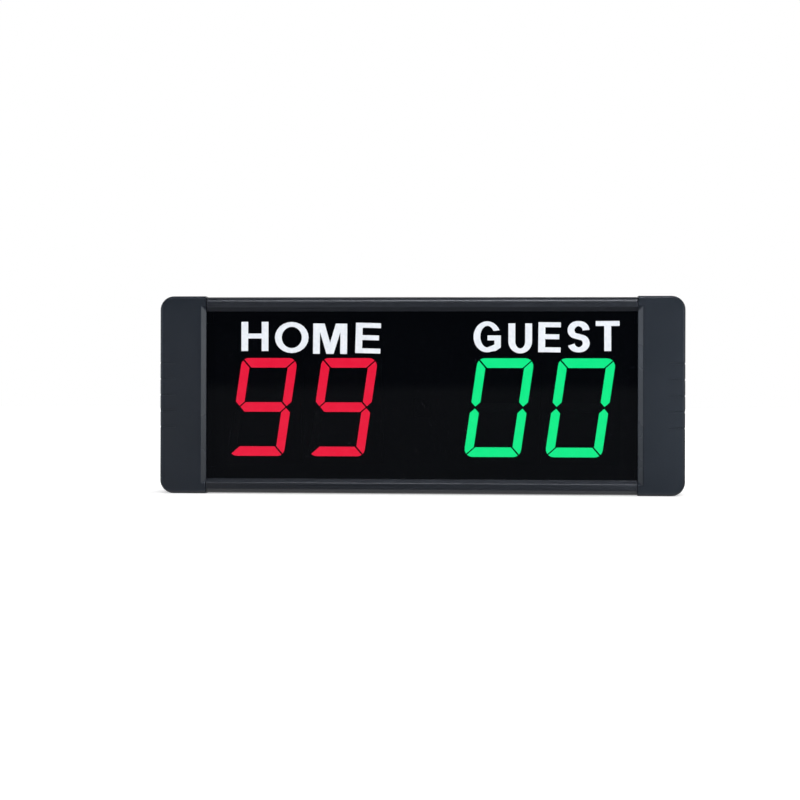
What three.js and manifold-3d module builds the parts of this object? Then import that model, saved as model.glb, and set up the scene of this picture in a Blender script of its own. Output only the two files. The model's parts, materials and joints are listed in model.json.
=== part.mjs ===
// An electronic scoreboard with four seven-segment digits, as the separate pieces it is built from.
// Millimetres. +X runs to the right of the display, +Y to its back and +Z up.
// The origin is at the bottom centre, on the surface that the scoreboard stands on.

import * as THREE from 'three';
import { mergeVertices } from 'three/addons/utils/BufferGeometryUtils.js';
import Module from 'manifold-3d';

const wasm = await Module();
wasm.setup();

// Whole object
const overall = { width: 191.4, height: 72.4 };

// Shared clearances: between resting pieces, and how far a cut runs past the face that it opens
const seat = 0.3;
const overrun = 1;

// Facets of round forms
const roundSides = 24;
const cornerSteps = 8;
const bevelSteps = 4;
const domeSteps = 5;
const figureSteps = 5;
const leadSides = 8;
const leadSteps = 12;

// The sloped frame round the front window, cut into caps and rails alike
const frameBevel = { width: 1.9, depth: 1.4 };

const cap = {
  width: 17,
  cornerRadius: 5,
  edgeRadius: 1,
  sideWall: 2,
  backWall: 1.4,
  bossRadius: 2.4,
  bossWeb: 1.2,
  headWall: 0.9,
};

const grip = { count: 5, pitch: 5.85, height: 0.5, depth: 0.2, reach: 5.7 };

const rail = {
  inset: 0.3,
  height: 5.3,
  frontRadius: 2,
  backRadius: 1,
  web: 1.5,
  rib: 1.2,
  ribShort: 0.8,
  lipEdge: 0.5,
  portDrop: 6.6,
  portWall: 0.8,
  portSlit: 1.4,
  portNeck: 1.2,
};

const screw = {
  shankRadius: 1.05,
  length: 21.7,
  headRadius: 2.6,
  headHeight: 2,
  headSink: 0.7,
  crossLength: 3,
  crossWidth: 0.7,
  crossDepth: 1.1,
};

const frontWindow = { thickness: 2, lap: 1.5 };

// Digit modules: places, housing and the strokes of the seven segments.
// The middle of a pair lies at its share of half the visible width.
const digit = {
  pairShare: 0.5515,
  footMargin: 5.45,
  moduleGap: 0.8,
  sideBorder: 1.45,
  endBorder: 2.7,
  housingDepth: 8,
  housingWall: 1.2,
  recess: 2.5,
  faceSink: 0.2,
  width: 20.7,
  height: 36.1,
  uprightStroke: 3.3,
  levelStroke: 3.55,
  gap: 0.45,
  cornerRadius: 2.9,
  slantDegrees: 8.2,
};

const board = { thickness: 1.6, endGap: 1 };

const battery = { width: 50, height: 33, thickness: 4.2, edgeRadius: 1.6 };
const pad = { thickness: 0.4, width: 42, height: 24 };

const panel = { thickness: 2, baySpare: 0.6 };

// Fold-out stand: the leg, and the pocket of the back panel that it folds into.
// The insets run from the edges of the rails to the foot and to the hinge.
const stand = {
  width: 44,
  footInset: 3.9,
  hingeInset: 8.8,
  cornerRadius: 3,
  barrelRadius: 1.7,
  heelInner: 0.7,
  openDegrees: 35,
  stopMargin: 0.1,
  stubRadius: 0.9,
  stubLength: 0.9,
  pocketWall: 1.2,
  hingeWall: 2,
  pocketFloor: 1.2,
  nailWidth: 14,
  nailHeight: 3,
  nailDepth: 1.2,
};

// Keys: cap, plunger and switch, one above the other.
// Their columns lie at a share of half the visible width, and their rows at shares of the board's field.
const key = {
  headRadius: 4.2,
  flangeRadius: 5.2,
  flange: 1.4,
  proud: 0.7,
  travel: 0.5,
  topRadius: 0.5,
  switchWidth: 6,
  plungerRadius: 1.7,
  plungerProud: 1.5,
  plungerFoot: 0.7,
  legWidth: 0.8,
  legReach: 0.9,
  legThickness: 0.4,
};
const keyColumnShare = 0.6353;
const keyRowShares = { plus: 0.717, minus: 0.46, reset: 0.202 };

const powerSwitch = {
  width: 9,
  height: 4,
  depth: 4,
  knobWidth: 3,
  knobHeight: 2.4,
  skirtWidth: 5.4,
  skirtHeight: 3.4,
  skirt: 1.2,
  travel: 2,
  proud: 0.7,
};

const port = {
  rowShare: 0.09,
  width: 9,
  height: 3.3,
  shell: 0.35,
  mouthDepth: 5.6,
  tongueWidth: 6.6,
  tongueHeight: 0.7,
  sink: 0.6,
};

const buzzer = {
  topGap: 2.5,
  radius: 6,
  height: 5,
  mouthRadius: 1.2,
  mouthDepth: 1.5,
  grilleRadius: 0.75,
  grilleRing: 3,
  grilleCount: 6,
};

const socket = { rowShare: 0.275, length: 6, height: 7.6, depth: 4.6, wall: 0.8, cavity: 4.4 };
const plug = { proud: 1.6 };
const lead = { radius: 0.6, spread: 1.9 };

// Packages soldered to the back of the board, in rows at shares of its field
const controlChip = {
  rowShare: 0.386, width: 7.5, height: 14, body: 1.8, standoff: 0.1,
  legs: 10, legPitch: 1.27, legWidth: 0.45, legReach: 1.2, legThickness: 0.3,
};
const driverChip = {
  rowShare: 0.515, width: 4, height: 8.6, body: 1.4, standoff: 0.1,
  legs: 6, legPitch: 1.27, legWidth: 0.45, legReach: 1, legThickness: 0.3,
};
const chargerChip = {
  keyGap: 2.8, width: 3, height: 3.4, body: 1.1, standoff: 0.1,
  legs: 3, legPitch: 0.95, legWidth: 0.4, legReach: 0.7, legThickness: 0.25,
};
const inductor = { portGap: 1.2, railGap: 0.95, side: 5, height: 2.8, chamfer: 1.1 };
const crystal = { rowShare: 0.644, length: 9, width: 3.8, height: 3 };
const capacitor = { rowShare: 0.828, radius: 3, height: 5.4, base: 0.9, baseSide: 6.6, topRadius: 0.5 };
const receiver = { width: 6.2, height: 7, depth: 4.4, lensRadius: 2.5, lensShare: 0.8 };

// Places across the depth, from the front of the caps to their back
const pocketInner = seat + stand.pocketFloor;
const bayDepth = seat + pad.thickness + seat + battery.thickness + panel.baySpare + pocketInner;
const lipDepth = frameBevel.depth + rail.lipEdge;
const depth = lipDepth + seat + frontWindow.thickness + seat + digit.housingDepth + seat
  + board.thickness + bayDepth + panel.thickness + seat + cap.backWall;
const capFront = -depth / 2;
const capBack = depth / 2;
const railFront = capFront + rail.inset;
const railBack = capBack - rail.inset;
const lipBack = capFront + lipDepth;
const windowFront = lipBack + seat;
const windowBack = windowFront + frontWindow.thickness;
const moduleFront = windowBack + seat;
const moduleBack = moduleFront + digit.housingDepth;
const boardFront = moduleBack + seat;
const boardBack = boardFront + board.thickness;
const partBase = boardBack + seat;
const panelInner = boardBack + bayDepth;
const panelOuter = panelInner + panel.thickness;
const panelGrooveBack = panelOuter + seat;

// Places across the width and the height
const halfWidth = overall.width / 2;
const openingHalf = halfWidth - cap.width;
const railHalf = openingHalf - seat;
const railBottom = rail.inset;
const railTop = overall.height - rail.inset;
const openingBottom = railBottom + rail.height;
const openingTop = railTop - rail.height;
const webBottom = railBottom + rail.web;
const webTop = railTop - rail.web;
const sheetHeights = [webBottom + seat, webTop - seat];
const portHeights = [railBottom + rail.portDrop, railTop - rail.portDrop];
const portBore = screw.shankRadius + seat;
const portOuter = portBore + rail.portWall;
const portY = (boardBack + panelInner) / 2;

// Digit modules: their size round the slanted figure, and their places behind the window
const slant = THREE.MathUtils.degToRad(digit.slantDegrees);
const lean = Math.tan(slant);
const housingWidth = digit.width + digit.height * lean + digit.sideBorder * 2;
const housingHeight = digit.height + digit.endBorder * 2;
const digitHeight = openingBottom + digit.footMargin + housingHeight / 2;
const digitPitch = housingWidth + digit.moduleGap;
const pairCentre = openingHalf * digit.pairShare;

// The board's field, between the screw ports of the two rails, and the height of a row in it
const fieldLow = portHeights[0] + portOuter;
const fieldHigh = portHeights[1] - portOuter;
const rowAt = (share) => fieldLow + (fieldHigh - fieldLow) * share;

// The columns: the keys, and the middle of the bay between their switches and the battery
const keyColumn = openingHalf * keyColumnShare;
const bayColumn = (battery.width / 2 + keyColumn - key.switchWidth / 2) / 2;

// The stand's hinge and foot, and the lowest point of the well round its barrel
const hingeHeight = openingTop - stand.hingeInset;
const footHeight = openingBottom + stand.footInset;
const hingeY = panelOuter - stand.barrelRadius;
const hingeDrop = stand.barrelRadius + seat;
const wellFoot = hingeHeight - hingeDrop - stand.pocketWall;

// Places of the pieces on the back of the board, as [x, z]
const inductorHeight = fieldLow + inductor.railGap + inductor.side / 2;
const chargerReach = key.switchWidth / 2 + chargerChip.keyGap + chargerChip.legReach + chargerChip.width / 2;
const places = {
  battery: [0, (fieldLow + wellFoot) / 2],
  socket: [bayColumn, rowAt(socket.rowShare)],
  buzzer: [bayColumn, fieldHigh - buzzer.topGap - buzzer.radius],
  driverChip: [bayColumn, rowAt(driverChip.rowShare)],
  controlChip: [-bayColumn, rowAt(controlChip.rowShare)],
  crystal: [-bayColumn, rowAt(crystal.rowShare)],
  capacitor: [-bayColumn, rowAt(capacitor.rowShare)],
  port: [-bayColumn, rowAt(port.rowShare)],
  inductor: [-bayColumn - (port.width + inductor.side) / 2 - inductor.portGap, inductorHeight],
  chargerChip: [-keyColumn - chargerReach, inductorHeight],
  powerSwitch: [keyColumn, rowAt(keyRowShares.reset)],
};

// Materials
const blackPlastic = { color: 0x2b3036, roughness: 0.62, metalness: 0 };
const blackMetal = { color: 0x25282e, roughness: 0.38, metalness: 0.6 };
const smokedAcrylic = { color: 0x0b0d10, roughness: 0.05, metalness: 0 };
const housingPlastic = { color: 0x14161a, roughness: 0.8, metalness: 0 };
const milkyResin = { color: 0xd9d9d2, roughness: 0.5, metalness: 0 };
const boardGreen = { color: 0x1c4a34, roughness: 0.45, metalness: 0 };
const plainSteel = { color: 0x9b9da1, roughness: 0.35, metalness: 1 };
const chipBlack = { color: 0x1a1b1d, roughness: 0.7, metalness: 0 };
const softRubber = { color: 0x3b3f45, roughness: 0.85, metalness: 0 };
const whitePlastic = { color: 0xe6e4dc, roughness: 0.5, metalness: 0 };
const foilWrap = { color: 0x9aa3b0, roughness: 0.4, metalness: 0.3 };
const foamGrey = { color: 0x55585c, roughness: 0.95, metalness: 0 };
const redRubber = { color: 0xa81e1e, roughness: 0.6, metalness: 0 };
const blackRubber = { color: 0x17181a, roughness: 0.6, metalness: 0 };

// Turns a closed three.js geometry into a solid that can be joined and cut
function solidFrom(geometry) {
  geometry.deleteAttribute('normal');
  geometry.deleteAttribute('uv');
  const merged = mergeVertices(geometry);
  return new wasm.Manifold(new wasm.Mesh({
    numProp: 3,
    vertProperties: merged.attributes.position.array,
    triVerts: new Uint32Array(merged.index.array),
  }));
}

// Turns a joined and cut solid back into a three.js geometry
function geometryFrom(solid) {
  const mesh = solid.getMesh();
  const geometry = new THREE.BufferGeometry();
  geometry.setAttribute('position', new THREE.BufferAttribute(mesh.vertProperties, mesh.numProp));
  geometry.setIndex(new THREE.BufferAttribute(mesh.triVerts, 1));
  geometry.computeVertexNormals();
  return geometry;
}

function join(first, ...others) {
  return others.reduce((whole, other) => whole.add(other), first);
}

function cut(first, ...others) {
  return others.reduce((whole, other) => whole.subtract(other), first);
}

function middle([low, high]) {
  return (low + high) / 2;
}

// The range of a given length round a centre
function around(centre, length) {
  return [centre - length / 2, centre + length / 2];
}

function block(xRange, yRange, zRange) {
  const sizes = [xRange, yRange, zRange].map(([low, high]) => Math.abs(high - low));
  const geometry = new THREE.BoxGeometry(...sizes);
  geometry.translate(middle(xRange), middle(yRange), middle(zRange));
  return solidFrom(geometry);
}

function rodAlongX(xRange, y, z, radius) {
  const geometry = new THREE.CylinderGeometry(radius, radius, Math.abs(xRange[1] - xRange[0]), roundSides);
  geometry.rotateZ(Math.PI / 2);
  geometry.translate(middle(xRange), y, z);
  return solidFrom(geometry);
}

function rodAlongY(x, yRange, z, radius) {
  const geometry = new THREE.CylinderGeometry(radius, radius, Math.abs(yRange[1] - yRange[0]), roundSides);
  geometry.translate(x, middle(yRange), z);
  return solidFrom(geometry);
}

// A turned form along Y: the profile gives [radius, y] from axis to axis
function turnedAlongY(x, z, profile) {
  const points = profile.map(([radius, y]) => new THREE.Vector2(radius, y));
  const geometry = new THREE.LatheGeometry(points, roundSides);
  geometry.translate(x, 0, z);
  return solidFrom(geometry);
}

// A closed outline from a list of [across, up] points
function outlineOf(points) {
  return new THREE.Shape(points.map(([across, up]) => new THREE.Vector2(across, up)));
}

// A rectangle whose corners have their own radii: low left, low right, high right, high left
function roundedOutline([left, right], [low, high], radii) {
  const corners = [
    { x: left, z: low, inX: 1, inZ: 1 },
    { x: right, z: low, inX: -1, inZ: 1 },
    { x: right, z: high, inX: -1, inZ: -1 },
    { x: left, z: high, inX: 1, inZ: -1 },
  ];
  const points = [];
  corners.forEach(({ x, z, inX, inZ }, corner) => {
    const radius = radii[corner];
    const steps = radius > 0 ? cornerSteps : 0;
    for (let step = 0; step <= steps; step += 1) {
      const angle = Math.PI + (corner + step / cornerSteps) * Math.PI / 2;
      points.push([x + radius * (inX + Math.cos(angle)), z + radius * (inZ + Math.sin(angle))]);
    }
  });
  return outlineOf(points);
}

// A plate of an outline in X and Z, thick along Y, with its two rims rounded where asked
function plateAlongY(shape, [front, back], rimRadius = 0) {
  const geometry = new THREE.ExtrudeGeometry(shape, {
    depth: back - front - rimRadius * 2,
    bevelEnabled: rimRadius > 0,
    bevelThickness: rimRadius,
    bevelSize: rimRadius,
    bevelOffset: -rimRadius,
    bevelSegments: bevelSteps,
  });
  geometry.rotateX(Math.PI / 2);
  geometry.translate(0, back - rimRadius, 0);
  return solidFrom(geometry);
}

// A bar of an outline in Y and Z, long along X
function barAlongX(shape, [left, right]) {
  const geometry = new THREE.ExtrudeGeometry(shape, {
    depth: right - left,
    bevelEnabled: false,
  });
  const turn = new THREE.Matrix4().makeBasis(
    new THREE.Vector3(0, 1, 0),
    new THREE.Vector3(0, 0, 1),
    new THREE.Vector3(1, 0, 0),
  );
  geometry.applyMatrix4(turn);
  geometry.translate(left, 0, 0);
  return solidFrom(geometry);
}

// A block whose front and back faces are rectangles of different sizes
function taperedBlock(front, back) {
  const geometry = new THREE.BoxGeometry(1, 1, 1);
  const place = geometry.attributes.position;
  for (let index = 0; index < place.count; index += 1) {
    const face = place.getY(index) < 0 ? front : back;
    const x = place.getX(index) < 0 ? face.x[0] : face.x[1];
    const z = place.getZ(index) < 0 ? face.z[0] : face.z[1];
    place.setXYZ(index, x, face.y, z);
  }
  return solidFrom(geometry);
}

// The space in front of the window, which slopes in to the visible opening
function frameFunnel() {
  const slope = frameBevel.width / frameBevel.depth;
  const faceAt = (sunk) => {
    const wider = frameBevel.width - sunk * slope;
    return {
      x: [-openingHalf - wider, openingHalf + wider],
      z: [openingBottom - wider, openingTop + wider],
      y: capFront + sunk,
    };
  };
  return taperedBlock(faceAt(-overrun), faceAt(lipDepth + seat));
}

// Five shallow grooves that wrap the outer edge of a cap
function gripGrooves(side) {
  const outer = side * halfWidth;
  const reachEnd = outer - side * grip.reach;
  const first = overall.height / 2 - (grip.count - 1) * grip.pitch / 2;
  const coreOuter = outer - side * grip.depth;
  const grooves = [];
  for (let index = 0; index < grip.count; index += 1) {
    const heights = around(first + index * grip.pitch, grip.height);
    const coreHeights = around(first + index * grip.pitch, grip.height + overrun);
    const wrap = block([reachEnd, outer + side * overrun], [capFront - overrun, capBack + overrun], heights);
    const core = block(
      [reachEnd - side * overrun, coreOuter],
      [capFront + grip.depth, capBack - grip.depth],
      coreHeights,
    );
    grooves.push(cut(wrap, core));
  }
  return grooves;
}

function endCap(side) {
  const outer = side * halfWidth;
  const inner = side * openingHalf;
  const spare = side * (cap.edgeRadius + overrun);
  const xRange = side > 0 ? [inner - spare, outer] : [outer, inner - spare];
  const radius = cap.cornerRadius;
  const radii = side > 0 ? [0, radius, radius, 0] : [radius, 0, 0, radius];
  const outline = roundedOutline(xRange, [0, overall.height], radii);
  const body = plateAlongY(outline, [capFront, capBack], cap.edgeRadius);
  const trimmed = cut(
    body,
    block(
      [inner - spare * 2, inner],
      [capFront - overrun, capBack + overrun],
      [-overrun, overall.height + overrun],
    ),
    block([inner - spare, outer - side * cap.sideWall], [lipBack, panelGrooveBack], [webBottom, webTop]),
  );
  const headRadius = screw.headRadius + seat;
  const headFloor = outer - side * (screw.headSink + screw.headHeight + seat);
  let result = trimmed;
  for (const height of portHeights) {
    const wallHeight = height < overall.height / 2 ? webBottom : webTop;
    const collarX = [outer - side * overrun, headFloor - side * rail.rib];
    const collar = rodAlongX(collarX, portY, height, headRadius + cap.headWall);
    const boss = rodAlongX([headFloor, inner], portY, height, cap.bossRadius);
    const web = block([outer - side * cap.sideWall, inner], around(portY, cap.bossWeb), [height, wallHeight]);
    result = join(result, collar, boss, web);
  }
  for (const height of portHeights) {
    const counterbore = rodAlongX([outer + side * overrun, headFloor], portY, height, headRadius);
    const hole = rodAlongX([outer, inner - side * overrun], portY, height, portBore);
    result = cut(result, counterbore, hole);
  }
  return cut(result, frameFunnel(), ...gripGrooves(side));
}

// A rail of one section: grooves for window, board and back panel, and an open screw port
function sideRail(outerFace, openingEdge) {
  const inward = Math.sign(openingEdge - outerFace);
  const webFace = outerFace + inward * rail.web;
  const past = openingEdge + inward * overrun;
  const isTop = inward < 0;
  const heights = isTop ? [openingEdge, outerFace] : [outerFace, openingEdge];
  const radii = isTop ? [0, 0, rail.backRadius, rail.frontRadius] : [rail.frontRadius, rail.backRadius, 0, 0];
  const outline = roundedOutline([railFront, railBack], heights, radii);
  const length = [-railHalf, railHalf];
  const longer = [-railHalf - overrun, railHalf + overrun];
  const boardGroove = [boardFront - seat, boardBack + seat];
  const panelGroove = [panelInner - seat, panelGrooveBack];
  const hollows = [
    [lipBack, moduleFront],
    [moduleFront + rail.rib, boardGroove[0] - rail.rib],
    boardGroove,
    [boardGroove[1] + rail.rib, panelGroove[0] - rail.rib],
    panelGroove,
  ];
  const openCuts = hollows.map((range) => block(longer, range, [webFace, past]));
  const shortRibs = block(
    longer,
    [moduleFront, panelGroove[0]],
    [openingEdge - inward * rail.ribShort, past],
  );
  const body = cut(barAlongX(outline, length), ...openCuts, shortRibs);
  const portHeight = outerFace + inward * rail.portDrop;
  const tube = rodAlongX(length, portY, portHeight, portOuter);
  const neck = block(length, around(portY, rail.portNeck), [webFace - inward * seat, portHeight]);
  const bore = rodAlongX(longer, portY, portHeight, portBore);
  const slitTop = portHeight + inward * (portOuter + overrun);
  const slit = block(longer, around(portY, rail.portSlit), [portHeight, slitTop]);
  return cut(join(body, tube, neck), bore, slit, frameFunnel());
}

function capScrew(side, height) {
  const headOuter = side * (halfWidth - screw.headSink);
  const headInner = headOuter - side * screw.headHeight;
  const crossFloor = headOuter - side * screw.crossDepth;
  const crossX = [headOuter + side * overrun, crossFloor];
  const shankX = [headInner + side * screw.headHeight / 2, headInner - side * screw.length];
  return cut(
    join(
      rodAlongX([headOuter, headInner], portY, height, screw.headRadius),
      rodAlongX(shankX, portY, height, screw.shankRadius),
    ),
    block(crossX, around(portY, screw.crossLength), around(height, screw.crossWidth)),
    block(crossX, around(portY, screw.crossWidth), around(height, screw.crossLength)),
  );
}

function frontWindowSheet() {
  const half = openingHalf + frontWindow.lap;
  return block([-half, half], [windowFront, windowBack], sheetHeights);
}

// The outline of the whole slanted figure round a centre, with its corners rounded
function figureOutline(growth, centreX) {
  const radius = digit.cornerRadius + growth;
  const acrossReach = digit.width / 2 + growth - radius / Math.cos(slant);
  const upReach = digit.height / 2 + growth - radius;
  const signs = [[1, -1], [1, 1], [-1, 1], [-1, -1]];
  const turns = [-Math.PI / 2, -slant, Math.PI / 2, Math.PI - slant, Math.PI * 1.5];
  const points = [];
  signs.forEach(([across, up], corner) => {
    const x = centreX + acrossReach * across + upReach * up * lean;
    const z = digitHeight + upReach * up;
    for (let step = 0; step <= figureSteps; step += 1) {
      const angle = turns[corner] + (turns[corner + 1] - turns[corner]) * step / figureSteps;
      points.push([x + radius * Math.cos(angle), z + radius * Math.sin(angle)]);
    }
  });
  return outlineOf(points);
}

// The seven segments in upright form, as [across, up] from the digit's centre.
// Their outer edges run past the figure, which trims them.
// A grown set is larger all round, and a negative growth makes each segment smaller.
function segmentOutlines(growth) {
  const halfAcross = digit.width / 2 + growth;
  const halfUp = digit.height / 2 + growth;
  const upright = digit.uprightStroke + growth * 2;
  const level = digit.levelStroke + growth * 2;
  const offset = (digit.gap - growth * 2) / Math.SQRT2;
  const centreAcross = halfAcross - upright / 2;
  const outerAcross = halfAcross + overrun;
  const outerUp = halfUp + overrun;
  const top = [
    [-outerAcross + offset, outerUp],
    [-halfAcross + level + offset, halfUp - level],
    [halfAcross - level - offset, halfUp - level],
    [outerAcross - offset, outerUp],
  ];
  const upperRight = [
    [outerAcross, outerUp - offset],
    [halfAcross - upright, halfUp - upright - offset],
    [halfAcross - upright, upright / 2 + offset],
    [centreAcross, offset],
    [outerAcross, upright / 2 + offset + overrun],
  ];
  const middleTip = centreAcross - offset;
  const centreBar = [
    [-middleTip, 0],
    [-middleTip + level / 2, -level / 2],
    [middleTip - level / 2, -level / 2],
    [middleTip, 0],
    [middleTip - level / 2, level / 2],
    [-middleTip + level / 2, level / 2],
  ];
  const flipped = (points, across, up) => points.map(([x, z]) => [x * across, z * up]);
  return [
    top,
    upperRight,
    flipped(upperRight, 1, -1),
    flipped(top, 1, -1),
    flipped(upperRight, -1, -1),
    flipped(upperRight, -1, 1),
    centreBar,
  ];
}

// The segments as slanted prisms of a digit that stands round the given centre
function segmentPrisms(growth, centreX, [front, back]) {
  const figure = plateAlongY(figureOutline(growth, centreX), [front - overrun, back + overrun]);
  return segmentOutlines(growth).map((points) => {
    const slanted = points.map(([across, up]) => [centreX + across + up * lean, digitHeight + up]);
    return plateAlongY(outlineOf(slanted), [front, back]).intersect(figure);
  });
}

function digitHousing(centreX) {
  const recessFront = moduleBack - digit.recess;
  const body = block(
    around(centreX, housingWidth),
    [moduleFront, moduleBack],
    around(digitHeight, housingHeight),
  );
  const recess = block(
    around(centreX, housingWidth - digit.housingWall * 2),
    [recessFront, moduleBack + overrun],
    around(digitHeight, housingHeight - digit.housingWall * 2),
  );
  const cavities = segmentPrisms(0, centreX, [moduleFront - overrun, recessFront + overrun]);
  return cut(body, recess, ...cavities);
}

function digitDiffuser(centreX) {
  const slabFront = moduleBack - digit.recess + seat;
  const margin = (digit.housingWall + seat) * 2;
  const slab = block(
    around(centreX, housingWidth - margin),
    [slabFront, moduleBack],
    around(digitHeight, housingHeight - margin),
  );
  const segments = segmentPrisms(-seat, centreX, [moduleFront + digit.faceSink, slabFront + seat]);
  return join(slab, ...segments);
}

function circuitBoard() {
  const half = railHalf - board.endGap;
  return block([-half, half], [boardFront, boardBack], sheetHeights);
}

// The heel of the stand leg, which meets the floor of its well just past the open angle
const openAngle = THREE.MathUtils.degToRad(stand.openDegrees);
const heelRoom = hingeDrop - stand.stopMargin - stand.heelInner * Math.cos(openAngle);
const heelHeight = heelRoom / Math.sin(openAngle);
const heelSwing = Math.hypot(stand.barrelRadius, heelHeight);
const pocketTop = hingeHeight + heelSwing + seat;

function standLeg() {
  const half = stand.width / 2;
  const radius = stand.cornerRadius;
  const outline = roundedOutline([-half, half], [footHeight, hingeHeight], [radius, radius, 0, 0]);
  const heelTop = hingeHeight + heelHeight;
  const stubs = [-half - stand.stubLength, half + stand.stubLength];
  return join(
    plateAlongY(outline, [panelInner, panelOuter]),
    rodAlongX([-half, half], hingeY, hingeHeight, stand.barrelRadius),
    block([-half, half], [hingeY - stand.heelInner, panelOuter], [hingeHeight, heelTop]),
    rodAlongX(stubs, hingeY, hingeHeight, stand.stubRadius),
  );
}

// The tray behind the stand leg, before its pocket is cut
function standTray() {
  const half = stand.width / 2 + seat + stand.pocketWall;
  const hingeHalf = stand.width / 2 + seat + stand.hingeWall;
  const low = footHeight - seat - stand.pocketWall;
  const high = pocketTop + stand.pocketWall;
  const wellFront = hingeY - hingeDrop - stand.pocketFloor;
  return join(
    block([-half, half], [panelInner - pocketInner, panelOuter], [low, high]),
    block([-hingeHalf, hingeHalf], [wellFront, panelOuter], [wellFoot, high]),
  );
}

// What is cut from the tray: the pocket, the well for the barrel, the stub dimples and the nail recess
function standPocket() {
  const half = stand.width / 2 + seat;
  const low = footHeight - seat;
  const past = panelOuter + overrun;
  const wellLow = hingeHeight - hingeDrop;
  const dimpleHalf = stand.width / 2 + stand.stubLength + seat;
  const nailHeights = [low - stand.nailHeight, low + overrun];
  return [
    block([-half, half], [panelInner - seat, past], [low, pocketTop]),
    block([-half, half], [hingeY - hingeDrop, past], [wellLow, pocketTop]),
    rodAlongX([-dimpleHalf, dimpleHalf], hingeY, hingeHeight, stand.stubRadius + seat),
    block(around(0, stand.nailWidth), [panelOuter - stand.nailDepth, past], nailHeights),
  ];
}

// The five keys, by name and place
const keys = [
  { name: 'home_plus', x: -keyColumn, z: rowAt(keyRowShares.plus) },
  { name: 'home_minus', x: -keyColumn, z: rowAt(keyRowShares.minus) },
  { name: 'guest_plus', x: keyColumn, z: rowAt(keyRowShares.plus) },
  { name: 'guest_minus', x: keyColumn, z: rowAt(keyRowShares.minus) },
  { name: 'reset', x: -keyColumn, z: rowAt(keyRowShares.reset) },
];

const flangeTop = panelInner - seat;
const flangeFoot = flangeTop - key.flange;
const plungerTop = flangeFoot - seat;
const switchTop = plungerTop - key.plungerProud;
const knobFoot = partBase + powerSwitch.depth + seat;

function panelOpenings() {
  const through = [panelInner - overrun, panelOuter + overrun];
  const [switchX, switchZ] = places.powerSwitch;
  const [soundX, soundZ] = places.buzzer;
  const keyHoles = keys.map(({ x, z }) => rodAlongY(x, through, z, key.headRadius + seat));
  const slot = block(
    around(switchX, powerSwitch.knobWidth + powerSwitch.travel + seat * 2),
    through,
    around(switchZ, powerSwitch.knobHeight + seat * 2),
  );
  const portHole = plateAlongY(portOutline(seat), through);
  const sound = [rodAlongY(soundX, through, soundZ, buzzer.grilleRadius)];
  for (let index = 0; index < buzzer.grilleCount; index += 1) {
    const angle = index / buzzer.grilleCount * Math.PI * 2;
    const x = soundX + Math.cos(angle) * buzzer.grilleRing;
    const z = soundZ + Math.sin(angle) * buzzer.grilleRing;
    sound.push(rodAlongY(x, through, z, buzzer.grilleRadius));
  }
  return [...keyHoles, slot, portHole, ...sound];
}

function backPanel() {
  const half = openingHalf + frontWindow.lap;
  const sheet = block([-half, half], [panelInner, panelOuter], sheetHeights);
  return cut(join(sheet, standTray()), ...standPocket(), ...panelOpenings());
}

// The rounded mouth of the charging port, larger or smaller by the growth
function portOutline(growth) {
  const [x, z] = places.port;
  const height = port.height + growth * 2;
  const radius = height / 2;
  return roundedOutline(
    around(x, port.width + growth * 2),
    around(z, height),
    [radius, radius, radius, radius],
  );
}

function chargingPort() {
  const [x, z] = places.port;
  const mouth = panelOuter - port.sink;
  const mouthFloor = mouth - port.mouthDepth;
  const shell = plateAlongY(portOutline(0), [partBase, mouth]);
  const hollow = plateAlongY(portOutline(-port.shell), [mouthFloor, mouth + overrun]);
  const tongue = block(
    around(x, port.tongueWidth),
    [mouthFloor - port.shell, mouth - port.sink],
    around(z, port.tongueHeight),
  );
  return join(cut(shell, hollow), tongue);
}

function keyCap({ x, z }) {
  const headTop = panelOuter + key.proud;
  const rimDrop = key.topRadius * (1 - Math.SQRT1_2);
  return turnedAlongY(x, z, [
    [0, flangeFoot],
    [key.flangeRadius, flangeFoot],
    [key.flangeRadius, flangeTop],
    [key.headRadius, flangeTop],
    [key.headRadius, headTop - key.topRadius],
    [key.headRadius - rimDrop, headTop - rimDrop],
    [key.headRadius - key.topRadius, headTop],
    [0, headTop],
  ]);
}

function keyPlunger({ x, z }) {
  return rodAlongY(x, [switchTop - key.plungerFoot, plungerTop], z, key.plungerRadius);
}

function keySwitch({ x, z }) {
  const half = key.switchWidth / 2;
  const wellFloor = switchTop - key.plungerFoot - key.travel - seat;
  const body = block(around(x, key.switchWidth), [partBase, switchTop], around(z, key.switchWidth));
  const well = rodAlongY(x, [wellFloor, switchTop + overrun], z, key.plungerRadius + seat);
  const legs = [];
  for (const side of [-1, 1]) {
    for (const end of [-1, 1]) {
      const legX = x + side * (half - key.legWidth);
      const legZ = [z + end * (half - key.legThickness), z + end * (half + key.legReach)];
      legs.push(block(around(legX, key.legWidth), [partBase, partBase + key.legThickness], legZ));
    }
  }
  return cut(join(body, ...legs), well);
}

function powerSwitchBody() {
  const [x, z] = places.powerSwitch;
  return block(
    around(x, powerSwitch.width),
    [partBase, partBase + powerSwitch.depth],
    around(z, powerSwitch.height),
  );
}

// The knob rests at the off end of its slot, and its skirt is longer than the slot is open
function powerSlider() {
  const [x, z] = places.powerSwitch;
  const restX = x - powerSwitch.travel / 2;
  const knobTop = panelOuter + powerSwitch.proud;
  return join(
    block(
      around(restX, powerSwitch.skirtWidth),
      [knobFoot, knobFoot + powerSwitch.skirt],
      around(z, powerSwitch.skirtHeight),
    ),
    block(
      around(restX, powerSwitch.knobWidth),
      [knobFoot, knobTop],
      around(z, powerSwitch.knobHeight),
    ),
  );
}

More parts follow.
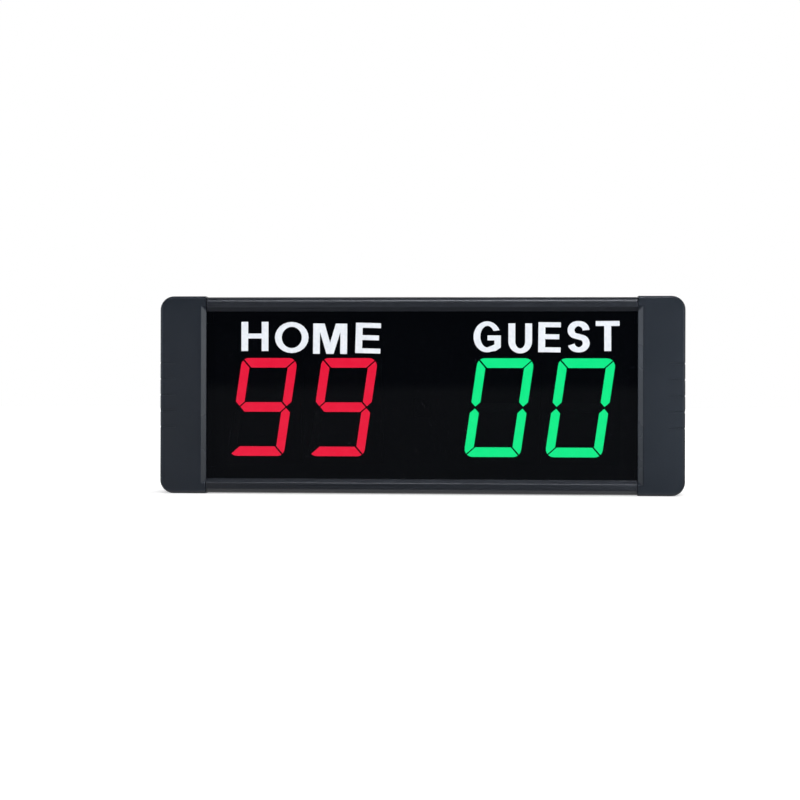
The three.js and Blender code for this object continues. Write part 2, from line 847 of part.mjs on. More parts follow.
// A flat package with a row of bent legs on each long side
function chipPackage(chip, [x, z]) {
  const bodyFoot = partBase + chip.standoff;
  const legTop = bodyFoot + chip.body / 2 + chip.legThickness / 2;
  const body = block(around(x, chip.width), [bodyFoot, bodyFoot + chip.body], around(z, chip.height));
  const legs = [];
  for (const side of [-1, 1]) {
    const edge = x + side * chip.width / 2;
    const knee = edge + side * chip.legReach / 2;
    const toe = edge + side * chip.legReach;
    for (let index = 0; index < chip.legs; index += 1) {
      const heights = around(z + (index - (chip.legs - 1) / 2) * chip.legPitch, chip.legWidth);
      legs.push(
        block([edge - side * chip.legThickness, knee], [legTop - chip.legThickness, legTop], heights),
        block([knee - side * chip.legThickness, knee], [partBase, legTop], heights),
        block([knee - side * chip.legThickness, toe], [partBase, partBase + chip.legThickness], heights),
      );
    }
  }
  return join(body, ...legs);
}

function powerInductor() {
  const [x, z] = places.inductor;
  const half = inductor.side / 2;
  const short = half - inductor.chamfer;
  const corners = [[-half, -short], [-short, -half], [short, -half], [half, -short],
    [half, short], [short, half], [-short, half], [-half, short]];
  const outline = outlineOf(corners.map(([across, up]) => [x + across, z + up]));
  return plateAlongY(outline, [partBase, partBase + inductor.height]);
}

function crystalCan() {
  const [x, z] = places.crystal;
  const radius = crystal.width / 2;
  const outline = roundedOutline(
    around(x, crystal.length),
    around(z, crystal.width),
    [radius, radius, radius, radius],
  );
  return plateAlongY(outline, [partBase, partBase + crystal.height]);
}

function storageCapacitor() {
  const [x, z] = places.capacitor;
  const top = partBase + capacitor.height;
  const can = turnedAlongY(x, z, [
    [0, partBase],
    [capacitor.radius, partBase],
    [capacitor.radius, top - capacitor.topRadius],
    [capacitor.radius - capacitor.topRadius, top],
    [0, top],
  ]);
  const foot = block(
    around(x, capacitor.baseSide),
    [partBase, partBase + capacitor.base],
    around(z, capacitor.baseSide),
  );
  return join(can, foot);
}

function soundBuzzer() {
  const top = partBase + buzzer.height;
  return turnedAlongY(...places.buzzer, [
    [0, partBase],
    [buzzer.radius, partBase],
    [buzzer.radius, top],
    [buzzer.mouthRadius, top],
    [buzzer.mouthRadius, top - buzzer.mouthDepth],
    [0, top - buzzer.mouthDepth],
  ]);
}

// The remote control's receiver, on the front of the board between the two pairs of digits
function infraredReceiver() {
  const back = boardFront - seat;
  const front = back - receiver.depth;
  const lensDepth = receiver.lensRadius * receiver.lensShare;
  const dome = [];
  for (let step = 0; step <= domeSteps; step += 1) {
    const angle = step / domeSteps * Math.PI / 2;
    dome.push([receiver.lensRadius * Math.sin(angle), front - lensDepth * Math.cos(angle)]);
  }
  const middleY = middle([front, back]);
  const lens = turnedAlongY(0, digitHeight, [...dome, [receiver.lensRadius, middleY], [0, middleY]]);
  return join(
    block(around(0, receiver.width), [front, back], around(digitHeight, receiver.height)),
    lens,
  );
}

const padBack = partBase + pad.thickness;
const batteryFront = padBack + seat;
const batteryBack = batteryFront + battery.thickness;

function batteryPad() {
  const [x, z] = places.battery;
  return block(around(x, pad.width), [partBase, padBack], around(z, pad.height));
}

function batteryCell() {
  const [x, z] = places.battery;
  const radius = battery.edgeRadius;
  const outline = roundedOutline(
    [batteryFront, batteryBack],
    around(z, battery.height),
    [radius, radius, radius, radius],
  );
  return barAlongX(outline, around(x, battery.width));
}

const plugHeight = socket.height - (socket.wall + seat) * 2;
const plugDepth = socket.depth - (socket.wall + seat) * 2;
const [socketX, socketZ] = places.socket;
const socketMouth = socketX - socket.length / 2;
const plugFace = socketMouth - plug.proud;
const plugY = partBase + socket.depth / 2;

function batterySocket() {
  return cut(
    block(
      around(socketX, socket.length),
      [partBase, partBase + socket.depth],
      around(socketZ, socket.height),
    ),
    block(
      [socketMouth - overrun, socketMouth + socket.cavity],
      around(plugY, socket.depth - socket.wall * 2),
      around(socketZ, socket.height - socket.wall * 2),
    ),
  );
}

function batteryPlug() {
  const end = socketMouth + socket.cavity - seat;
  return block([plugFace, end], around(plugY, plugDepth), around(socketZ, plugHeight));
}

// A lead from the end of the battery to the face of the plug, above or below the middle
function batteryLead(side) {
  const height = socketZ + side * lead.spread / 2;
  const start = new THREE.Vector3(battery.width / 2 + seat, middle([batteryFront, batteryBack]), height);
  const end = new THREE.Vector3(plugFace - seat, plugY, height);
  const midX = middle([start.x, end.x]);
  const path = new THREE.CubicBezierCurve3(
    start,
    new THREE.Vector3(midX, start.y, height),
    new THREE.Vector3(midX, end.y, height),
    end,
  );
  const section = new THREE.Shape();
  section.absarc(0, 0, lead.radius, 0, Math.PI * 2, false);
  const geometry = new THREE.ExtrudeGeometry(section, {
    steps: leadSteps,
    curveSegments: leadSides / 2,
    extrudePath: path,
  });
  return solidFrom(geometry);
}

const scoreboard = new THREE.Group();

function addPiece(name, solid, material) {
  const mesh = new THREE.Mesh(geometryFrom(solid), new THREE.MeshStandardMaterial(material));
  mesh.name = name;
  scoreboard.add(mesh);
}

function addCase() {
  addPiece('left_end_cap', endCap(-1), blackPlastic);
  addPiece('right_end_cap', endCap(1), blackPlastic);
  addPiece('top_rail', sideRail(railTop, openingTop), blackMetal);
  addPiece('bottom_rail', sideRail(railBottom, openingBottom), blackMetal);
  addPiece('front_window', frontWindowSheet(), smokedAcrylic);
  addPiece('back_panel', backPanel(), blackPlastic);
  addPiece('cap_screw_left_low', capScrew(-1, portHeights[0]), plainSteel);
  addPiece('cap_screw_left_high', capScrew(-1, portHeights[1]), plainSteel);
  addPiece('cap_screw_right_low', capScrew(1, portHeights[0]), plainSteel);
  addPiece('cap_screw_right_high', capScrew(1, portHeights[1]), plainSteel);
}

function addDisplay() {
  const centres = {
    home_tens: -pairCentre - digitPitch / 2,
    home_ones: -pairCentre + digitPitch / 2,
    guest_tens: pairCentre - digitPitch / 2,
    guest_ones: pairCentre + digitPitch / 2,
  };
  for (const [name, x] of Object.entries(centres)) {
    addPiece(`${name}_housing`, digitHousing(x), housingPlastic);
    addPiece(`${name}_diffuser`, digitDiffuser(x), milkyResin);
  }
}

function addBoard() {
  addPiece('circuit_board', circuitBoard(), boardGreen);
  addPiece('control_chip', chipPackage(controlChip, places.controlChip), chipBlack);
  addPiece('driver_chip', chipPackage(driverChip, places.driverChip), chipBlack);
  addPiece('charger_chip', chipPackage(chargerChip, places.chargerChip), chipBlack);
  addPiece('power_inductor', powerInductor(), chipBlack);
  addPiece('crystal', crystalCan(), plainSteel);
  addPiece('storage_capacitor', storageCapacitor(), plainSteel);
  addPiece('buzzer', soundBuzzer(), chipBlack);
  addPiece('infrared_receiver', infraredReceiver(), chipBlack);
  addPiece('charging_port', chargingPort(), plainSteel);
}

function addBattery() {
  addPiece('battery_pad', batteryPad(), foamGrey);
  addPiece('battery_cell', batteryCell(), foilWrap);
  addPiece('battery_socket', batterySocket(), whitePlastic);
  addPiece('battery_plug', batteryPlug(), whitePlastic);
  addPiece('battery_lead_red', batteryLead(1), redRubber);
  addPiece('battery_lead_black', batteryLead(-1), blackRubber);
}

function addControls() {
  for (const place of keys) {
    addPiece(`${place.name}_key`, keyCap(place), softRubber);
    addPiece(`${place.name}_plunger`, keyPlunger(place), whitePlastic);
    addPiece(`${place.name}_switch`, keySwitch(place), chipBlack);
  }
  addPiece('power_switch_body', powerSwitchBody(), plainSteel);
  addPiece('power_slider', powerSlider(), softRubber);
  addPiece('stand_leg', standLeg(), blackPlastic);
}

addCase();
addDisplay();
addBoard();
addBattery();
addControls();

export default scoreboard;
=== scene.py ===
"""An electronic scoreboard with four seven-segment digits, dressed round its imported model.

Metres. +X runs to the right of the display, +Y to its back and +Z up.
"""

import json
import math

import bmesh
import bpy
from mathutils import Matrix, Vector
from mathutils.geometry import tessellate_polygon

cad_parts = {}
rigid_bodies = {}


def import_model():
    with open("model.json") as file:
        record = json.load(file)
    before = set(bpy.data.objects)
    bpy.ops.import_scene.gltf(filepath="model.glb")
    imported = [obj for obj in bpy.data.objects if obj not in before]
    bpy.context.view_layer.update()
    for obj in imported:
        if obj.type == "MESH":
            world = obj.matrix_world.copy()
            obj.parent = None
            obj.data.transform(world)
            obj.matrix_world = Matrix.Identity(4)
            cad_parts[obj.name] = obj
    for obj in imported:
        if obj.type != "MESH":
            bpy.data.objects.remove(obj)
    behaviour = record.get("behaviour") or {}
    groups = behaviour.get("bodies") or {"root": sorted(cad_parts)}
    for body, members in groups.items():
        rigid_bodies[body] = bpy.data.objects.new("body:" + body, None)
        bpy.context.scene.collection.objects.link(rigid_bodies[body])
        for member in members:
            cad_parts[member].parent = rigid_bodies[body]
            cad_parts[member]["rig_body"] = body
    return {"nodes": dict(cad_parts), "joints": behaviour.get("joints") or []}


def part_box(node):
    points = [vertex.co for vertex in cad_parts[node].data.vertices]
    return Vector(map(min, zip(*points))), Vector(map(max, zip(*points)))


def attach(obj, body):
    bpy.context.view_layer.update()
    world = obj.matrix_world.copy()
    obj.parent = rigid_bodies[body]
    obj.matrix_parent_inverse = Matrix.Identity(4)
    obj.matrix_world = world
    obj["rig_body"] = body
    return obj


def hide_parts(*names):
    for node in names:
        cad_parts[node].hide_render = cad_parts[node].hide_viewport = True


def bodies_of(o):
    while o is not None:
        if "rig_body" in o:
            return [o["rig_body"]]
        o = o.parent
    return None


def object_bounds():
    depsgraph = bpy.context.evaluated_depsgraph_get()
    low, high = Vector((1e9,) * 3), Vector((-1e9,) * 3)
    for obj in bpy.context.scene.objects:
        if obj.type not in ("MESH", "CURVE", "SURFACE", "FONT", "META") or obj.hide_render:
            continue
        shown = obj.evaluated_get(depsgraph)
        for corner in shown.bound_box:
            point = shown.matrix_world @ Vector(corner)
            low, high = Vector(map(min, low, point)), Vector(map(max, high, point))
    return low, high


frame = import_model()
cad_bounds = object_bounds()
scene = bpy.context.scene
nodes = frame["nodes"]

# Camera
CAMERA_TARGET = (-0.00733, -0.0127, 0.0345)
CAMERA_DISTANCE = 0.5995
CAMERA_AZIMUTH = 3.6
CAMERA_ELEVATION = 0.1
CAMERA_ROLL = 0.15
CAMERA_LENS = 74.13
CAMERA_SENSOR = 36.0

# Stage: the floor grows white with the distance
FLOOR_SIZE = 9.0
FLOOR_TONE = 0.82
FLOOR_LIFT = (0.45, 1.0)
FLOOR_LIFT_REACH = (0.25, 1.5)
WORLD_FILL = 0.3

# Cards that only gloss sees: a dark booth round the front, lighter at its foot, and small pale cards
BOOTH_REACH = 1.5
BOOTH_HEIGHT = 1.6
BOOTH_BACK = 0.5
BOOTH_CLEARANCE = 0.001
BOOTH_BAND = (0.042, 0.054)
BOOTH_LOW = (0.08, 0.09, 0.11)
BOOTH_HIGH = (0.028, 0.036, 0.055)
PALE_BAND = (0.025, 0.095)
PALE_CARDS = {
    # middle, size, the azimuth and elevation that it stands at, its tones at the foot and the top
    "right_card": ((0.273, -0.2, 0.061), (0.2, 0.118), (62, 0), (1.5, 1.6, 1.75), (3.7, 4.0, 4.4)),
    "left_card": ((-0.291, -0.162, 0.061), (0.2, 0.118), (-68, 0), (1.3, 1.45, 1.7), (2.9, 3.2, 3.8)),
    "blue_card": ((0.21, -0.3, 0.03), (0.19, 0.056), (0, 0), (3.4, 3.8, 4.4), (2.0, 2.5, 3.4)),
    "low_card": ((-0.24, -0.3, 0.018), (0.19, 0.032), (0, 0), (3.2, 3.0, 2.9), (3.2, 3.0, 2.9)),
    "high_card": ((0.04, -0.69, 0.61), (0.42, 0.2), (3, 40), (16.0, 16.5, 18.0), (16.0, 16.5, 18.0)),
}

# Lamps
SOFTBOXES = {
    # the azimuth and elevation that it stands at, distance, size, power, and whether gloss sees it
    "front_softbox": (3, 30, 1.2, (0.4, 0.3), 6.2, False),
    "right_softbox": (63, 16, 0.9, (0.4, 0.5), 2.0, False),
    "left_softbox": (-68, 16, 0.9, (0.4, 0.5), 1.5, False),
    "top_softbox": (0, 88, 1.2, (0.8, 0.8), 3.5, False),
    "back_softbox": (160, 30, 1.2, (0.8, 0.5), 5.0, True),
}

# Materials: tracks, pads and foam cells in a metre, and the share of each chip that is its black body
TRACKS_PER_METRE = 260.0
PADS_PER_METRE = 420.0
FOAM_CELLS_PER_METRE = 2600.0
CHIP_BODY_SHARES = {"control_chip": 0.74, "driver_chip": 0.66, "charger_chip": 0.66}

# Meshes: how split corners are joined, which edges are softened, and how far
WELD_DISTANCE = 2e-6
FLAT_ANGLE = 0.5
CREASE_ANGLE = 30.0
EDGE_SOFTNESS = 0.0002
ARC_STEPS = 24
CORNER_STEPS = 3
MITRE_LIMIT = 0.35

# Print on the window and on the back
PRINT_THICKNESS = 0.00008
PRINT_SEAT = 0.000005
PRINT_CORNER = 0.0001
FRONT_STEM = 0.0025
FRONT_LEVEL = 0.0018
WORDS = {
    # letter, left edge, middle height, width, height, clockwise degrees
    "home_word": (
        ("H", -0.06591, 0.0577, 0.01, 0.0107, 0.0),
        ("O", -0.05351, 0.05731, 0.01243, 0.0114, 0.0),
        ("M", -0.03941, 0.05687, 0.0125, 0.0111, 0.4),
        ("E", -0.02381, 0.05709, 0.0092, 0.0111, 1.5),
    ),
    "guest_word": (
        ("G", 0.01929, 0.05758, 0.00995, 0.0113, 0.0),
        ("U", 0.03197, 0.05702, 0.0086, 0.0109, 0.0),
        ("E", 0.04283, 0.05743, 0.0081, 0.0109, 0.6),
        ("S", 0.05348, 0.05764, 0.0079, 0.0113, 0.0),
        ("T", 0.06358, 0.05788, 0.0086, 0.0109, -0.4),
    ),
}

# Digits. The lit segments spread until they all but fill their cavities.
SHOWN_DIGITS = {"home_tens": "9", "home_ones": "9", "guest_tens": "0", "guest_ones": "0"}
LIT_SEGMENTS = {"9": "abcdfg", "0": "abcdef"}
DIGIT_SLANT = 8.2
SEGMENT_SPREAD = 0.00026
SEGMENT_CORNER = 0.0002
SEGMENT_RIM = 0.0001
SEGMENT_RIM_STEPS = ((0.0, 1.0), (0.3, 0.3), (1.0, 0.0))
SEGMENT_MIDDLE_SHARE = 0.125
SLAB_THICKNESS = 0.0022

# Rails: how far their ends reach into the gap before each cap
RAIL_SPREAD = 0.0002

# Caps: how far the normal of the facet beside the window, which gets a painted sheen, leans inwards, and
# how far up or down at most
FACET_LEAN = (0.5, 0.7)
FACET_RISE = 0.5

# Keys
KEY_SIGNS = {"home_plus": "+", "home_minus": "-", "guest_plus": "+", "guest_minus": "-", "reset": "0"}
KEY_FLANGE_RADIUS = 0.0052
KEY_FLANGE = 0.0014
KEY_HEAD_RADIUS = 0.0042
KEY_ROUND = 0.0006
KEY_ROUND_STEPS = 5
KEY_FILLET = 0.0002
KEY_DISH = 0.0003
KEY_DISH_SHARES = (0.9, 0.75, 0.55, 0.3, 0.08)
KEY_SIDES = 64
MARK_SIZE = 0.0032
MARK_STROKE = 0.0007

# Slider, with the places of a ridge's crest and valley as shares of its width, and the labels under it
KNOB_SIZE = (0.003, 0.0024)
KNOB_SKIRT = 0.0012
KNOB_SKIRT_HEIGHT = 0.0034
KNOB_RIDGES = 4
KNOB_RIDGE_DEPTH = 0.0003
KNOB_RIDGE_SHARES = (0.15, 0.6, 0.8)
SWITCH_LABEL_HEIGHT = 0.0017
SWITCH_LABEL_STROKE = 0.00034
SWITCH_LABEL_DROP = 0.0034
SWITCH_LABEL_SPREAD = 0.0038
SWITCH_LETTER_WIDTH = SWITCH_LABEL_HEIGHT * 0.72
SWITCH_LETTER_STEP = SWITCH_LABEL_HEIGHT * 0.95

# Charging port
PORT_STEPS = 10
PORT_SHELL = 0.00035
PORT_MOUTH = 0.0056
PORT_LIP = 0.0001
TONGUE_SIZE = (0.0066, 0.0007)
TONGUE_SINK = 0.0006
CONTACT_COUNT = 12
CONTACT_PITCH = 0.0005
CONTACT_WIDTH = 0.00028
CONTACT_LENGTH = 0.0022
CONTACT_THICKNESS = 0.00003
CONTACT_SETBACK = 0.0003

# Screws
SCREW_HEAD_RADIUS = 0.0026
SCREW_HEAD_HEIGHT = 0.002
SCREW_HEAD_ROUND = 0.0005
SCREW_HEAD_ANGLES = (30, 60, 90)
SCREW_HEAD_FILLET = 0.0002
SCREW_RADIUS = 0.00105
SCREW_CORE_RADIUS = 0.0008
SCREW_PITCH = 0.001
SCREW_POINT = 0.002
SCREW_POINT_SHARE = 0.12
SCREW_SIDES = 24
RINGS_PER_PITCH = 8
RECESS_REACH = 0.0015
RECESS_WIDTH = 0.0007
RECESS_DEPTH = 0.0011
RECESS_TAPER = 0.55


def direction(azimuth, elevation):
    """The unit vector from the object towards a place at these degrees, azimuth 0 being the front."""
    a = math.radians(azimuth)
    e = math.radians(elevation)
    return Vector((math.sin(a) * math.cos(e), -math.cos(a) * math.cos(e), math.sin(e)))


def link(obj):
    scene.collection.objects.link(obj)
    return obj


def make_camera():
    camera = link(bpy.data.objects.new("camera", bpy.data.cameras.new("camera")))
    camera.data.lens = CAMERA_LENS
    camera.data.sensor_width = CAMERA_SENSOR
    towards = direction(CAMERA_AZIMUTH, CAMERA_ELEVATION)
    camera.location = Vector(CAMERA_TARGET) + towards * CAMERA_DISTANCE
    aim = (-towards).to_track_quat("-Z", "Y").to_matrix()
    camera.rotation_euler = (aim @ Matrix.Rotation(math.radians(CAMERA_ROLL), 3, "Z")).to_euler()
    scene.camera = camera


make_camera()
scene.view_settings.view_transform = "Standard"


class Nodes:
    """The node tree of a material or world, emptied, with short calls to add and join nodes."""

    def __init__(self, owner):
        owner.use_nodes = True
        self.tree = owner.node_tree
        self.tree.nodes.clear()

    def add(self, kind, inputs=None, **settings):
        node = self.tree.nodes.new("ShaderNode" + kind)
        for name, value in settings.items():
            setattr(node, name, value)
        for name, value in (inputs or {}).items():
            if isinstance(value, bpy.types.NodeSocket):
                self.tree.links.new(value, node.inputs[name])
            else:
                node.inputs[name].default_value = value
        return node

    def math(self, operation, first, second=0.0):
        return self.add("Math", {0: first, 1: second}, operation=operation).outputs[0]

    def place(self):
        """The point of the surface in metres, in the shared frame, as three sockets."""
        spot = self.add("TexCoord").outputs["Object"]
        return self.add("SeparateXYZ", {"Vector": spot}).outputs

    def noise(self, size, detail=2.0, stretch=(1.0, 1.0, 1.0)):
        """Soft noise round one half, in spots of about this size, drawn out by the stretch."""
        spot = self.add("TexCoord").outputs["Object"]
        scale = [1.0 / (size * longer) for longer in stretch]
        scaled = self.add("Mapping", {"Vector": spot, "Scale": scale}).outputs[0]
        return self.add("TexNoise", {"Vector": scaled, "Scale": 1.0, "Detail": detail}).outputs[0]

    def between(self, factor, low, high, start=0.3, end=0.7):
        """A value from low to high, as the factor runs from its start to its end."""
        inputs = {"Value": factor, "From Min": start, "From Max": end, "To Min": low, "To Max": high}
        return self.add("MapRange", inputs).outputs["Result"]

    def tones(self, factor, first, second, start=0.3, end=0.7):
        """A colour from the first to the second, as the factor runs from its start to its end."""
        ramp = self.add("ValToRGB", {"Fac": factor})
        for element, position, colour in zip(ramp.color_ramp.elements, (start, end), (first, second)):
            element.position = position
            element.color = (*colour, 1.0)
        return ramp.outputs["Color"]

    def mix(self, factor, first, second):
        """The first colour where the factor is 0, and the second where it is 1.

        In colours, this node takes them at its inputs 6 and 7 and gives its result at its output 2.
        """
        node = self.add("Mix", data_type="RGBA")
        for index, value in ((0, factor), (6, first), (7, second)):
            if isinstance(value, bpy.types.NodeSocket):
                self.tree.links.new(value, node.inputs[index])
            else:
                node.inputs[index].default_value = (*value, 1.0)
        return node.outputs[2]

    def bump(self, height, depth, normal=None):
        inputs = {"Height": height, "Distance": depth, "Strength": 1.0}
        if normal:
            inputs["Normal"] = normal
        return self.add("Bump", inputs).outputs["Normal"]

    def surface(self, inputs):
        self.finish(self.add("BsdfPrincipled", inputs).outputs[0])

    def finish(self, shader, kind="OutputMaterial"):
        self.add(kind, {"Surface": shader})


def new_material(name):
    made = bpy.data.materials.new(name)
    return made, Nodes(made)


# Stage and lamps


def seen_directly(tree):
    """1 for rays from the camera, from gloss and through glass, and 0 for the light on the object."""
    path = tree.add("LightPath")
    first = tree.math("MAXIMUM", path.outputs["Is Camera Ray"], path.outputs["Is Glossy Ray"])
    return tree.math("MAXIMUM", first, path.outputs["Is Transmission Ray"])


def make_world():
    world = bpy.data.worlds.new("studio")
    scene.world = world
    tree = Nodes(world)
    fill = tree.add("Background", {"Color": (1, 1, 1, 1), "Strength": WORLD_FILL})
    white = tree.add("Background", {"Color": (1, 1, 1, 1), "Strength": 1.0})
    mixed = tree.add("MixShader", {0: seen_directly(tree), 1: fill.outputs[0], 2: white.outputs[0]})
    tree.finish(mixed.outputs[0], "OutputWorld")


def plane(name, size, place, facing):
    width, height = size
    mesh = bpy.data.meshes.new(name)
    corners = at_height(rectangle(-width / 2, -height / 2, width / 2, height / 2), 0)
    mesh.from_pydata(corners, [], [(0, 1, 2, 3)])
    obj = link(bpy.data.objects.new(name, mesh))
    turned = Vector(facing).to_track_quat("Z", "Y").to_matrix().to_4x4()
    obj.matrix_world = Matrix.Translation(place) @ turned
    return obj


def floor_white():
    """A pale floor whose own light grows with the distance, so that its far edge meets the background."""
    made, tree = new_material("floor_white")
    x, y = tree.place()[:2]
    away = tree.math("SQRT", tree.math("ADD", tree.math("MULTIPLY", x, x), tree.math("MULTIPLY", y, y)))
    lift = tree.between(away, *FLOOR_LIFT, *FLOOR_LIFT_REACH)
    diffuse = tree.add("BsdfDiffuse", {"Color": (FLOOR_TONE, FLOOR_TONE, FLOOR_TONE, 1)})
    strength = tree.math("MULTIPLY", seen_directly(tree), lift)
    glow = tree.add("Emission", {"Color": (1, 1, 1, 1), "Strength": strength})
    tree.finish(tree.add("AddShader", {0: diffuse.outputs[0], 1: glow.outputs[0]}).outputs[0])
    return made


def card(name, low, high, band):
    """A card that only gloss sees, of two tones: the camera and all other light pass through it."""
    made, tree = new_material(name)
    made.cycles.emission_sampling = "NONE"
    height = tree.add("SeparateXYZ", {"Vector": tree.add("NewGeometry").outputs["Position"]}).outputs[2]
    shown = tree.add("Emission", {"Color": tree.tones(height, low, high, *band), "Strength": 1.0})
    clear = tree.add("BsdfTransparent")
    glossy_ray = tree.add("LightPath").outputs["Is Glossy Ray"]
    mixed = tree.add("MixShader", {0: glossy_ray, 1: clear.outputs[0], 2: shown.outputs[0]})
    tree.finish(mixed.outputs[0])
    return made


def make_stage():
    floor = plane("floor", (FLOOR_SIZE, FLOOR_SIZE), (0, 0, 0), (0, 0, 1))
    floor.data.materials.append(floor_white())
    reach, height, back = BOOTH_REACH, BOOTH_HEIGHT, BOOTH_BACK
    near = cad_bounds[0].y - BOOTH_CLEARANCE
    middle = (back - reach) / 2
    foot = (0, (near - reach) / 2, BOOTH_CLEARANCE)
    booth = [
        plane("front_wall", (reach * 2, height), (0, -reach, height / 2), (0, 1, 0)),
        plane("left_wall", (reach + back, height), (-reach, middle, height / 2), (1, 0, 0)),
        plane("right_wall", (reach + back, height), (reach, middle, height / 2), (-1, 0, 0)),
        plane("roof", (reach * 2, reach + back), (0, middle, height), (0, 0, 1)),
        plane("front_floor", (reach * 2, near + reach), foot, (0, 0, 1)),
    ]
    dark = card("booth", BOOTH_LOW, BOOTH_HIGH, BOOTH_BAND)
    for piece in booth:
        piece.data.materials.append(dark)
    for name, (place, size, bearing, low, high) in PALE_CARDS.items():
        booth.append(plane(name, size, place, -direction(*bearing)))
        booth[-1].data.materials.append(card(name, low, high, PALE_BAND))


def softbox(name, azimuth, elevation, distance, size, power, glossy):
    data = bpy.data.lights.new(name, "AREA")
    data.shape = "RECTANGLE"
    data.size, data.size_y = size
    data.energy = power
    lamp = link(bpy.data.objects.new(name, data))
    towards = direction(azimuth, elevation)
    middle = (cad_bounds[0] + cad_bounds[1]) / 2
    lamp.location = middle + towards * distance
    lamp.rotation_euler = towards.to_track_quat("Z", "Y").to_euler()
    lamp.visible_glossy = glossy


# Materials


def moulded_plastic(name, dark, light, roughness, specular=0.35):
    """Moulded plastic: a fine spark-eroded grain, and a slow change of tone and polish."""
    made, tree = new_material(name)
    clouds = tree.noise(size=0.018, detail=3.0)
    grain = tree.noise(size=0.00022, detail=1.0)
    tree.surface({
        "Base Color": tree.tones(clouds, dark, light),
        "Roughness": tree.between(clouds, roughness - 0.04, roughness + 0.04),
        "Specular IOR Level": specular,
        "Normal": tree.bump(grain, depth=0.000012),
    })
    return made


def extruded_rail():
    """A satin black extrusion with fine drawing lines along its length."""
    made, tree = new_material("extruded_rail")
    lines = tree.noise(size=0.0003, stretch=(220.0, 1.0, 1.0))
    clouds = tree.noise(size=0.02, stretch=(3.0, 1.0, 1.0))
    tree.surface({
        "Base Color": tree.tones(clouds, (0.013, 0.015, 0.019), (0.017, 0.019, 0.024)),
        "Roughness": tree.between(lines, 0.27, 0.39),
        "Specular IOR Level": 0.45,
        "Normal": tree.bump(lines, depth=0.000004),
    })
    return made


def smoked_acrylic():
    """Clear cast sheet, tinted through its depth, with a trace of handling on its polish."""
    made, tree = new_material("smoked_acrylic")
    smears = tree.noise(size=0.014, detail=4.0, stretch=(2.0, 1.0, 1.0))
    tree.surface({
        "Base Color": (0.2, 0.2, 0.21, 1),
        "Roughness": tree.between(smears, 0.0, 0.03),
        "IOR": 1.49,
        "Transmission Weight": 1.0,
    })
    return made


def lit_resin(name, colour, shade):
    """A lit segment: even light, a little paler where the resin scatters it."""
    made, tree = new_material(name)
    spots = tree.noise(size=0.003)
    tree.surface({
        "Base Color": (0.03, 0.03, 0.03, 1),
        "Roughness": 0.5,
        "Emission Color": tree.tones(spots, colour, shade),
        "Emission Strength": 5.0,
    })
    return made


def unlit_resin():
    made, tree = new_material("unlit_resin")
    spots = tree.noise(size=0.002)
    tree.surface({
        "Base Color": tree.tones(spots, (0.016, 0.016, 0.0155), (0.022, 0.022, 0.021)),
        "Roughness": tree.between(spots, 0.45, 0.6),
    })
    return made


def housing_black():
    made, tree = new_material("housing_black")
    grain = tree.noise(size=0.0003)
    tree.surface({
        "Base Color": tree.tones(grain, (0.006, 0.006, 0.007), (0.01, 0.01, 0.011)),
        "Roughness": tree.between(grain, 0.6, 0.75),
        "Specular IOR Level": 0.3,
        "Normal": tree.bump(grain, depth=0.00001),
    })
    return made


def print_white():
    """A thin white film, with the unevenness of cut vinyl."""
    made, tree = new_material("print_white")
    patches = tree.noise(size=0.0012, detail=3.0)
    tree.surface({
        "Base Color": tree.tones(patches, (0.74, 0.78, 0.84), (0.84, 0.87, 0.91)),
        "Roughness": tree.between(patches, 0.45, 0.6),
        "Normal": tree.bump(patches, depth=0.000006),
    })
    return made


def soft_rubber(name, dark, light):
    made, tree = new_material(name)
    grain = tree.noise(size=0.00012)
    clouds = tree.noise(size=0.004)
    tree.surface({
        "Base Color": tree.tones(clouds, dark, light),
        "Roughness": tree.between(grain, 0.62, 0.78),
        "Specular IOR Level": 0.35,
        "Sheen Weight": 0.08,
        "Sheen Roughness": 0.4,
        "Normal": tree.bump(grain, depth=0.000008),
    })
    return made


def metal(name, dark, light, roughness, stretch):
    """Bare or plated metal with fine lines in the direction of the stretch."""
    made, tree = new_material(name)
    lines = tree.noise(size=0.0003, detail=3.0, stretch=stretch)
    clouds = tree.noise(size=0.003)
    tree.surface({
        "Base Color": tree.tones(clouds, dark, light),
        "Metallic": 1.0,
        "Roughness": tree.between(lines, roughness - 0.08, roughness + 0.1),
        "Normal": tree.bump(lines, depth=0.000003),
    })
    return made


def solder_mask():
    """Green solder mask over copper tracks, with bright round pads, on the back alone; the front face is
    painted near black, painted shade for the dark inside the case.
    """
    made, tree = new_material("solder_mask")
    facing = tree.add("SeparateXYZ", {"Vector": tree.add("TexCoord").outputs["Normal"]}).outputs[1]
    behind = tree.math("GREATER_THAN", facing, 0.5)
    spot = tree.add("TexCoord").outputs["Object"]
    flat = tree.add("Mapping", {"Vector": spot, "Scale": (1.0, 0.0, 1.0)}).outputs[0]
    tracks = tree.add("TexVoronoi", {"Vector": flat, "Scale": TRACKS_PER_METRE}, distance="CHEBYCHEV")
    stripes = tree.math("PINGPONG", tracks.outputs["Distance"], 0.12)
    copper = tree.between(stripes, 0.0, 1.0, 0.055, 0.065)
    pads = tree.add("TexVoronoi", {"Vector": flat, "Scale": PADS_PER_METRE, "Randomness": 0.35})
    pad = tree.math("MULTIPLY", tree.between(pads.outputs["Distance"], 1.0, 0.0, 0.12, 0.14), behind)
    green = tree.mix(copper, (0.012, 0.075, 0.032), (0.02, 0.13, 0.055))
    # Painted shade: the board's front and edges are near black, standing in for the shade inside the
    # case.
    black = tree.mix(copper, (0.004, 0.004, 0.004), (0.006, 0.006, 0.006))
    mask = tree.mix(behind, black, green)
    tree.surface({
        "Base Color": tree.mix(pad, mask, (0.62, 0.60, 0.56)),
        "Metallic": tree.math("MULTIPLY", pad, 0.9),
        "Roughness": tree.between(pad, 0.35, 0.28, 0.0, 1.0),
        "Normal": tree.bump(copper, depth=0.00002),
    })
    return made


